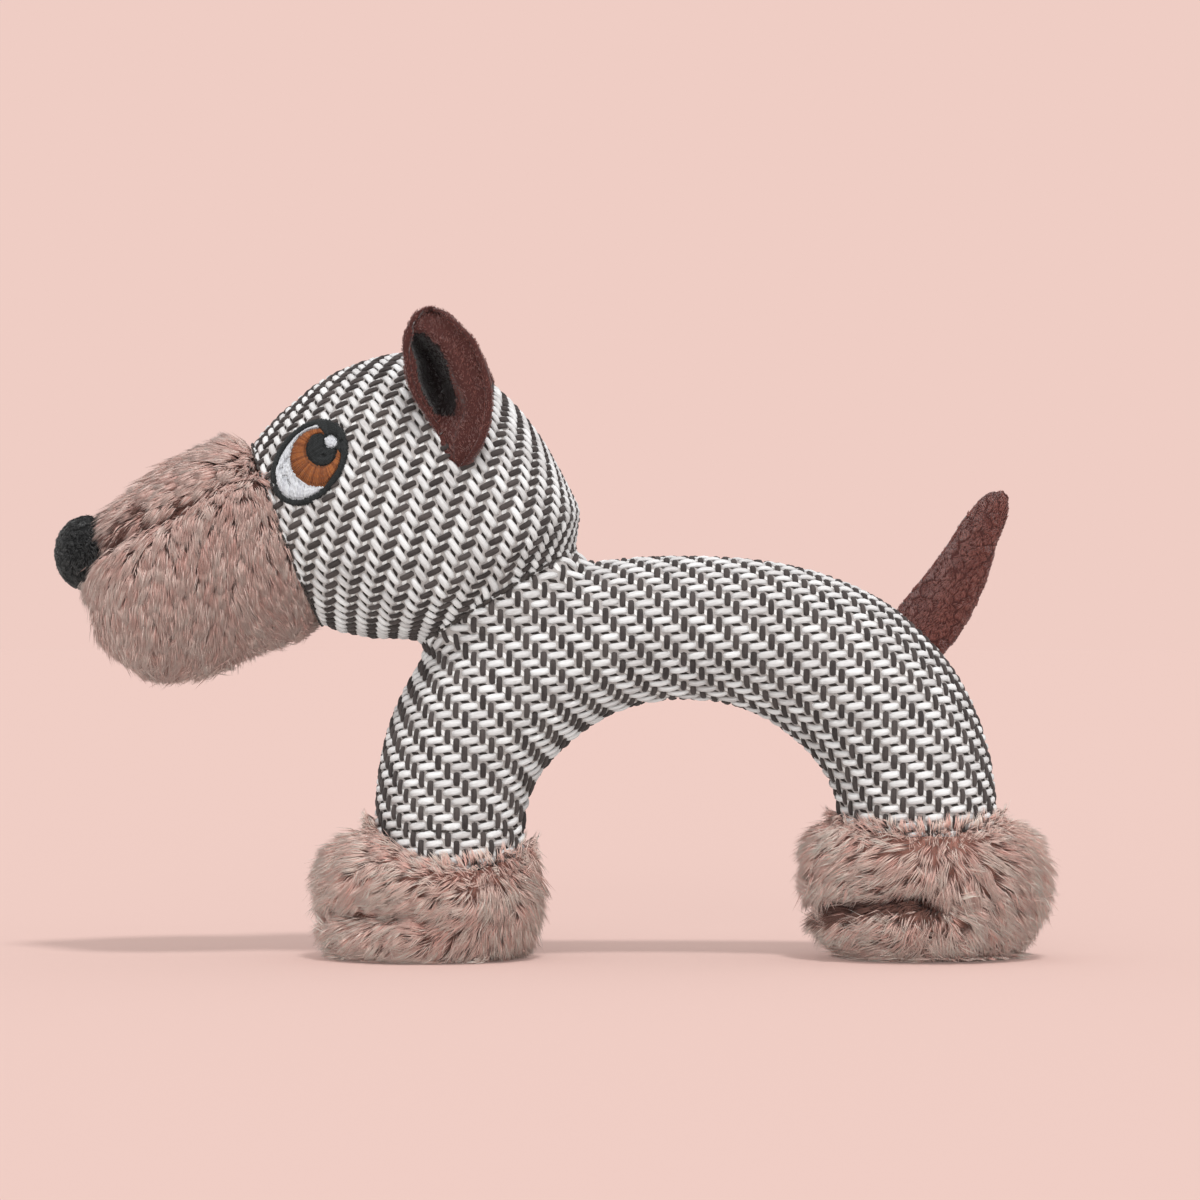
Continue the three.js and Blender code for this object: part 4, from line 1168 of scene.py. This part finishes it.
muzzle_tube = section_tube(MUZZLE_SECTIONS, MUZZLE_LENGTH, MUZZLE_HALF_HEIGHT, MUZZLE_HALF_WIDTH, MUZZLE_PILE,
                           -1, 0.1)


def muzzle_skin():
    bm = eased(remeshed(MUZZLE_GRAIN, sleeve(60, 56, muzzle_tube)), 3)
    trimmed(bm, muzzle_seam, head_back)
    drawn_in(bm, from_plane(crease_point, crease_up), CREASE_WIDTH, CREASE_SINK)
    return bm


def above_crease(spots):
    return (spots - np.array(crease_point)) @ np.array(crease_up)


def locks_of(spots):
    return clouds(spots, 0.3)


def painted_muzzle_shade(spots):
    """Whether hairs get painted shade, in the crease or in the furrows between the locks above it."""
    rise = above_crease(spots)
    furrow = np.clip(-locks_of(spots) - 0.14, 0, 0.6) * np.clip((FURROWS_FROM - spots[:, 0]) / 8, 0, 1)
    return (rise > -1.8) & (rise < 0.9 + 16 * furrow)


def forward(spots):
    fall = 0.75 * np.clip(0.5 + 1.5 * locks_of(spots), 0, 1.3) * np.clip(1 - above_crease(spots) / 7, 0, 1)
    return np.array(-head_back) - np.outer(0.12 + fall, head_up) + spots * (0, 0.018, 0)


def downward(spots):
    fan = np.clip((spots[:, 0] + 92) / 34, -0.15, 1.0) * np.clip((110 - spots[:, 2]) / 22, 0.1, 1)
    return np.stack([fan, spots[:, 1] * 0.004, np.full(len(spots), -1.0)], 1)


def top_length(spots):
    return 5.6 + 2.2 * np.clip(above_crease(spots) / 6, 0, 1)


def cheek_length(spots):
    return 8.0 - 1.8 * np.clip((spots[:, 0] + 82) / 18, 0, 1)


top_skin = muzzle_skin()
tucked("muzzle_wad", top_skin)
trimmed(top_skin, crease_point, -crease_up)
top_pile = combed(top_skin, TOP_HAIRS, forward, top_length, MUZZLE_LIFT, 51, tuft=2.1, pull=0.5,
                  deep=painted_muzzle_shade)
top = gathered("fur_muzzle_top", [top_pile, backing(top_skin)], (fur,))
fitted(top, "muzzle_top_panel", "head")
cheek_skin = muzzle_skin()
trimmed(cheek_skin, crease_point, crease_up)
halved(cheek_skin)
cheek_pile = combed(cheek_skin, CHEEK_HAIRS, downward, cheek_length, MUZZLE_LIFT, 52, tuft=1.7, pull=0.5,
                    wander=0.15, droop=0.15, deep=painted_muzzle_shade)
paired("fur_cheek_*", "muzzle_cheek_*", [cheek_pile, backing(cheek_skin)], (fur,), "head")

# Nose: an oval pad of black plush, flat at its back, where it is sewn to the end of the muzzle. Its pile is
# very short and brushed down.

NOSE_HALF = Vector((9.0, 12.5, 10.3))
NOSE_AT = Vector((-50.2, 0, 14.2))
NOSE_BACK = Vector((4, 0, 0))
NOSE_PILE = 1.0
NOSE_HAIRS = 12000
# Its last colour is painted shade, used here on the backing only, half way.
plush = pelt("black_plush", (26, 26, 27), (38, 38, 39), (86, 86, 86), (14, 14, 14), 0.8, 0.3)
nose_skin = bmesh.new()
bmesh.ops.create_uvsphere(nose_skin, u_segments=40, v_segments=28, radius=1)
bmesh.ops.scale(nose_skin, vec=NOSE_HALF - Vector((NOSE_PILE, NOSE_PILE, NOSE_PILE)), verts=nose_skin.verts)
bmesh.ops.translate(nose_skin, vec=head_place @ NOSE_AT, verts=nose_skin.verts)
trimmed(nose_skin, head_place @ (NOSE_AT + NOSE_BACK), head_back)
bmesh.ops.holes_fill(nose_skin, edges=nose_skin.edges, sides=0)
nose_skin.normal_update()
nose_pile = combed(nose_skin, NOSE_HAIRS, (0.3, 0.0, -1.0), 1.4, 0.6, 61, tuft=1.4, pull=0.25, wide=0.11,
                   wander=0.4)
nose = gathered("plush_nose", [nose_pile, backing(nose_skin, VELVET_BACKING)], (plush,))
fitted(nose, "nose_cover", "head")

# Eyes: machine embroidery straight onto the tweed, a dark outline that is thick above, a white, an iris in
# spokes, a pupil and a glint, each in close satin stitches of one thread.

EYE_LINE = 1.5
EYE_LID = (7.8, 0.256)
IRIS = (2.4, -1.3, 7.4)
PUPIL = (4.35, -0.7, 4.1)
GLINT = (7.45, -1.6, 1.65)
EYE_REACH = 13
EYE_RAISE = 1.0
EYE_CLOTH = 0.3
SATIN_PITCH = 0.36
SATIN_HALF = (0.28, 0.16)
SATIN_STEP = 0.12
SATIN_LENGTH = 4.5
SATIN_BOW = 0.12
SPOKES = 110
satin_shape = spindle(4, 4, 0.45)
eye_threads = {"black_thread": thread("black_thread", (20, 22, 23), (44, 47, 48), 0.55),
               "white_thread": thread("white_thread", (214, 215, 222), (246, 247, 250), 0.5),
               "brown_thread": thread("brown_thread", (118, 58, 24), (186, 112, 58), 0.5)}
SATIN = (("outline", "black_thread", 0.9), ("white", "white_thread", 0.5), ("iris", "brown_thread", None),
         ("pupil", "black_thread", -0.4), ("glint", "white_thread", 0.2))
shell_tree = BVHTree.FromBMesh(head_shell)


def on_head(along, across):
    """The head's cloth at a place of the eye, and its normal."""
    c, s = math.cos(EYE_TURN), math.sin(EYE_TURN)
    x, z = EYE_CENTRE[0] + along * c - across * s, EYE_CENTRE[1] + along * s + across * c
    hit, out, _, _ = shell_tree.ray_cast(head_place @ Vector((x, 0, z)) + NEAR * 100, -NEAR)
    return hit, out


def within(circle, a, b):
    along, across, radius = circle
    return math.hypot(a - along, b - across) < radius


def region(a, b):
    """The part of the eye that a place lies in."""
    if within(GLINT, a, b):
        return "glint"
    if not in_eye(a, b, EYE_LINE) or a > EYE_LID[0] + EYE_LID[1] * b:
        return "outline" if in_eye(a, b) else None
    if within(PUPIL, a, b):
        return "pupil"
    return "iris" if within(IRIS, a, b) else "white"


def satin_lines(name, slant):
    """Runs of stitches that fill a region, along parallel lines or, with no slant, on spokes of the pupil."""
    if slant is None:
        reach = np.arange(3, 12, SATIN_STEP)
        lines = [[(PUPIL[0] + r * math.cos(k), PUPIL[1] + r * math.sin(k)) for r in reach]
                 for k in np.linspace(0, 2 * math.pi, SPOKES, endpoint=False)]
    else:
        c, s = math.cos(slant), math.sin(slant)
        reach = np.arange(-EYE_REACH, EYE_REACH, SATIN_STEP)
        lines = [[(t * c - k * s, t * s + k * c) for t in reach]
                 for k in np.arange(-EYE_REACH, EYE_REACH, SATIN_PITCH)]
    runs = []
    for line in lines:
        run = []
        for place in line + [(99, 99)]:
            if region(*place) == name:
                run.append(place)
            elif run:
                runs.append(run)
                run = []
    return [run for run in runs if len(run) > 2]


for name, slot, slant in SATIN:
    draw = np.random.default_rng(71)
    lines, ups = [], []
    for run in satin_lines(name, slant):
        parts = max(1, round(len(run) * SATIN_STEP / SATIN_LENGTH))
        cuts = np.linspace(0, len(run) - 1, parts + 1).astype(int)
        for first, last in zip(cuts, cuts[1:]):
            spots = [on_head(*run[at]) for at in (first, (first + last) // 2, last)]
            if all(hit for hit, _ in spots):
                high = EYE_RAISE + draw.uniform(-0.05, 0.05)
                bows = (-SATIN_BOW, SATIN_BOW, -SATIN_BOW)
                lines.append([hit + out * (high + bow) for (hit, out), bow in zip(spots, bows)])
                ups.append(spots[1][1])
    lines = np.array(lines).swapaxes(0, 1)
    satin = strewn(satin_shape, lines, np.array(ups), *SATIN_HALF, (0, SKIN_ROW), draw)
    patch = bmesh.new()
    bmesh.ops.create_grid(patch, x_segments=64, y_segments=64, size=EYE_REACH)
    outside = [face for face in patch.faces if region(*face.calc_center_median().xy) != name]
    bmesh.ops.delete(patch, geom=outside, context="FACES")
    for vert in patch.verts:
        hit, out = on_head(vert.co.x, vert.co.y)
        vert.co = hit + out * (EYE_RAISE - 0.25)
    bmesh.ops.recalc_face_normals(patch, faces=patch.faces)
    for face in patch.faces:
        if face.normal.y > 0:
            face.normal_flip()
    cloth = [satin, backing(patch, EYE_CLOTH)]
    paired(f"stitched_eye_*_{name}", f"eye_*_{name}", cloth, (eye_threads[slot],), "head")

# Ears: each is a cupped leaf of two velvet panels, an outer one that rolls over the edge as a rim and a
# lining sewn inside it. The root is gathered and sewn into the head.

EAR_TIP = Vector((-23.2, 0, 126.1))
EAR_ROOT = Vector((-27.567, -30.355, 135.744))
EAR_GIVE = (-1, 9)
EAR_SCALE = 0.974
EAR_LOW = -3.0
EAR_HIGH = 42.2
LINING_HIGH = 40.2
RIM = 1.15
EAR_GUIDES = ((-3, -1.8, -23, -1.4, -23, -0.8, -23.5, 0, -23.8),
              (0, -1.8, -27, -1.4, -27.2, -0.8, -27.6, 0.5, -28.4),
              (3, -3.2, -28, -2.6, -28.6, -1, -30.4, 3.1, -32),
              (6.5, -4.8, -27.5, -3.9, -28.6, -1, -31.2, 5.5, -34.4),
              (10.4, -6.8, -28, -5, -28, 0, -32.4, 7.1, -35.2),
              (14.7, -9.6, -30, -4.6, -27, 2, -33.8, 8, -35.8),
              (19, -12.4, -31.4, -5, -23, 1.4, -34.6, 8.2, -36.2),
              (23.3, -14, -32.2, -6, -20, -0.6, -34.9, 7.7, -36.5),
              (26.7, -14.5, -32.8, -7.2, -20, -2.2, -35.2, 6.8, -36.8),
              (30.7, -14.9, -33.4, -9, -20.5, -4.6, -35.6, 5.2, -37),
              (33.8, -14.8, -33.9, -10.8, -27, -7.2, -35.6, 3.7, -37.2),
              (36.5, -14.1, -34.2, -12, -34, -10.2, -35.3, 1.2, -37.3),
              (39.3, -12.8, -34.8, -11, -34.6, -9.5, -34.8, -1.8, -37.2),
              (41.4, -10.6, -35.2, -9.4, -35.2, -8, -35.4, -4.6, -36.6),
              (42.2, -8.2, -35.6, -8, -35.7, -7.8, -35.7, -7.4, -35.8))


def lip_of(height, front_x, deep_x):
    """The width of the band along the ear's front edge, before the hollow."""
    return min(clamped(0.8 + (35 - height) * 0.25, 0.8, 2.4), 0.4 * (deep_x - front_x))


def ear_section(height):
    """The line of the ear at a height, from its front edge round the hollow to its back edge, with its
    normals and how far along it each point is."""
    front_x, front_y, deep_x, deep_y, fold_x, fold_y, back_x, back_y = curve_through(EAR_GUIDES, height)
    lip = lip_of(height, front_x, deep_x)
    knots = ((0, front_x, front_y), (0.1, front_x + lip, front_y - 0.2),
             (0.22, front_x + lip + 0.25 * (deep_x - front_x - lip), 0.4 * front_y + 0.6 * deep_y),
             (0.36, deep_x, deep_y), (0.5, 0.25 * deep_x + 0.75 * fold_x, 0.45 * deep_y + 0.55 * fold_y),
             (0.6, fold_x, fold_y), (0.8, 0.5 * (fold_x + back_x), 0.5 * (fold_y + back_y) + 0.8),
             (1, back_x, back_y))
    line = np.array([curve_through(knots, t) for t in np.linspace(0, 1, 49)])
    ahead = unit(np.gradient(line, axis=0))
    return line, np.stack([ahead[:, 1], -ahead[:, 0]], 1), run_of(line)


def ear_sheet(high, margin, front, back):
    """A sheet of the ear. Its faces lie before and behind the line, by their distance from an edge."""
    sections = {}

    def place(along, around):
        height = EAR_LOW + (high - EAR_LOW) * along
        line, outs, run = sections.setdefault(round(height, 6), ear_section(height))
        inset = min(margin, 0.3 * run[-1])
        share = (1 - turned(around)[0]) / 2
        at = inset + (run[-1] - 2 * inset) * share
        edge = min(at, run[-1] - at) - inset
        shift = front(edge) if around < 0.5 else -back(edge)
        x, y = (np.interp(at, run, line[:, k]) + shift * np.interp(at, run, outs[:, k]) for k in (0, 1))
        return Vector((EAR_TIP.x + x * EAR_SCALE, y, EAR_TIP.z + height * EAR_SCALE))
    return place


def rounded(edge, depth, width):
    share = clamped(edge / width)
    return depth * math.sqrt(1 - (1 - share) ** 2)


def rim(edge):
    """A bead along the edge, and the step down from it to the lining."""
    bead = math.sqrt(max(0, RIM ** 2 - (edge - RIM) ** 2)) if edge < 2 * RIM else 0.0
    return bead - rounded(max(edge - 1.4 * RIM, 0), 1.0, 1)


def painted_hollow_shade(spots):
    """Whether points lie inside the hollow, between the front edge and the fold, where pile and backing are
    painted in shade.
    """
    found = []
    for x, y, z in spots:
        height = clamped((z - EAR_TIP.z) / EAR_SCALE, EAR_LOW, EAR_HIGH)
        front_x, front_y, deep_x, deep_y, fold_x, fold_y, _, _ = curve_through(EAR_GUIDES, height)
        across = (x - EAR_TIP.x) / EAR_SCALE
        first = front_x + lip_of(height, front_x, deep_x) + 0.4
        last = fold_x - clamped((30 - height) * 0.25, 0.4, 3.5)
        found.append(first < across < last and deep_y - max(front_y, fold_y) > 2.5)
    return np.array(found)


outer_sheet = ear_sheet(EAR_HIGH, 0, rim, lambda edge: rounded(edge, 1.3, 1.3))
lining_sheet = ear_sheet(LINING_HIGH, 1.6 * RIM, lambda edge: rounded(edge, 0.55, 1.2),
                         lambda edge: rounded(edge, 0.2, 1))
# The lining's pile and backing are painted in shade in the hollow.
EAR_PANELS = (("outer", outer_sheet, 10500, None), ("lining", lining_sheet, 9000, painted_hollow_shade))
for name, sheet, count, hollow in EAR_PANELS:
    skin = sleeve(52, 72, sheet)
    pile = combed(skin, count, (0.2, 0.0, 1.0), 1.0, 0.45, 81, tuft=1.4, pull=0.25, wide=0.1, wander=0.35,
                  deep=hollow)
    cloth = [pile, backing(skin, 0, hollow)]
    ears = paired(f"velvet_ear_*_{name}", f"ear_*_{name}", cloth, (velvet,))
    for side, ear in ears.items():
        root = EAR_ROOT * Vector((1, 1 if side == "left" else -1, 1))
        start, end = ((root + Vector((0, 0, at))) * MM for at in EAR_GIVE)
        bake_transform(ear)
        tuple(start)
        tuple(end)

# Studio: a plain pale floor that runs back out of sight, a key light from above and in front, a broad fill
# from the front, and even light from all round.

BACKDROP = paint(239, 205, 196)
LOOK_AT = Vector((12.1, 0, 93.2)) * MM
STAND_BACK = 1.3
FLOOR_HALF = 8000
FLOOR_GLOW = 0.22
camera = placed("camera", bpy.data.cameras.new("camera"))
camera.location = LOOK_AT - Vector((0, STAND_BACK, 0))
camera.rotation_euler = (math.pi / 2, 0, 0)
camera.data.lens = 150
camera.data.sensor_width = 36
bpy.context.scene.camera = camera

bm = bmesh.new()
bmesh.ops.create_grid(bm, x_segments=4, y_segments=4, size=FLOOR_HALF)
floor_paint = Finish("pale_floor", {"Roughness": 0.9, "Specular IOR Level": 0.0})
seen = floor_paint.node("ShaderNodeLightPath")
floor_paint.feed("Base Color", seen.between(paint(224, 219, 215), paint(238, 204, 195)))
glow = floor_paint.node("ShaderNodeEmission", None, {"Color": BACKDROP, "Strength": 1.0})
tree = floor_paint.tree
mixed = floor_paint.node("ShaderNodeMixShader", None,
                         {0: seen * FLOOR_GLOW, 1: Dye(tree, floor_paint.shader.outputs[0]), 2: glow})
tree.links.new(mixed.socket, tree.nodes["Material Output"].inputs["Surface"])
made("floor", bm, floor_paint)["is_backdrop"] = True

world = bpy.data.worlds.new("studio")
bpy.context.scene.world = world
world.use_nodes = True
air = Dye(world.node_tree).node("ShaderNodeLightPath").between((0.62, 0.62, 0.62, 1), BACKDROP)
world.node_tree.links.new(air.socket, world.node_tree.nodes["Background"].inputs["Color"])

LIGHTS = (("key", 1.3, 8, (-0.12, 0.47, -0.87)), ("fill", 0.85, 40, (0.1, 0.98, -0.12)))
for name, power, spread, way in LIGHTS:
    light = placed(name, bpy.data.lights.new(name, "SUN"))
    light.data.energy = power
    light.data.angle = math.radians(spread)
    light.rotation_euler = Vector(way).to_track_quat("-Z", "Y").to_euler()
bpy.context.scene.view_settings.view_transform = "Standard"

low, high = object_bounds()
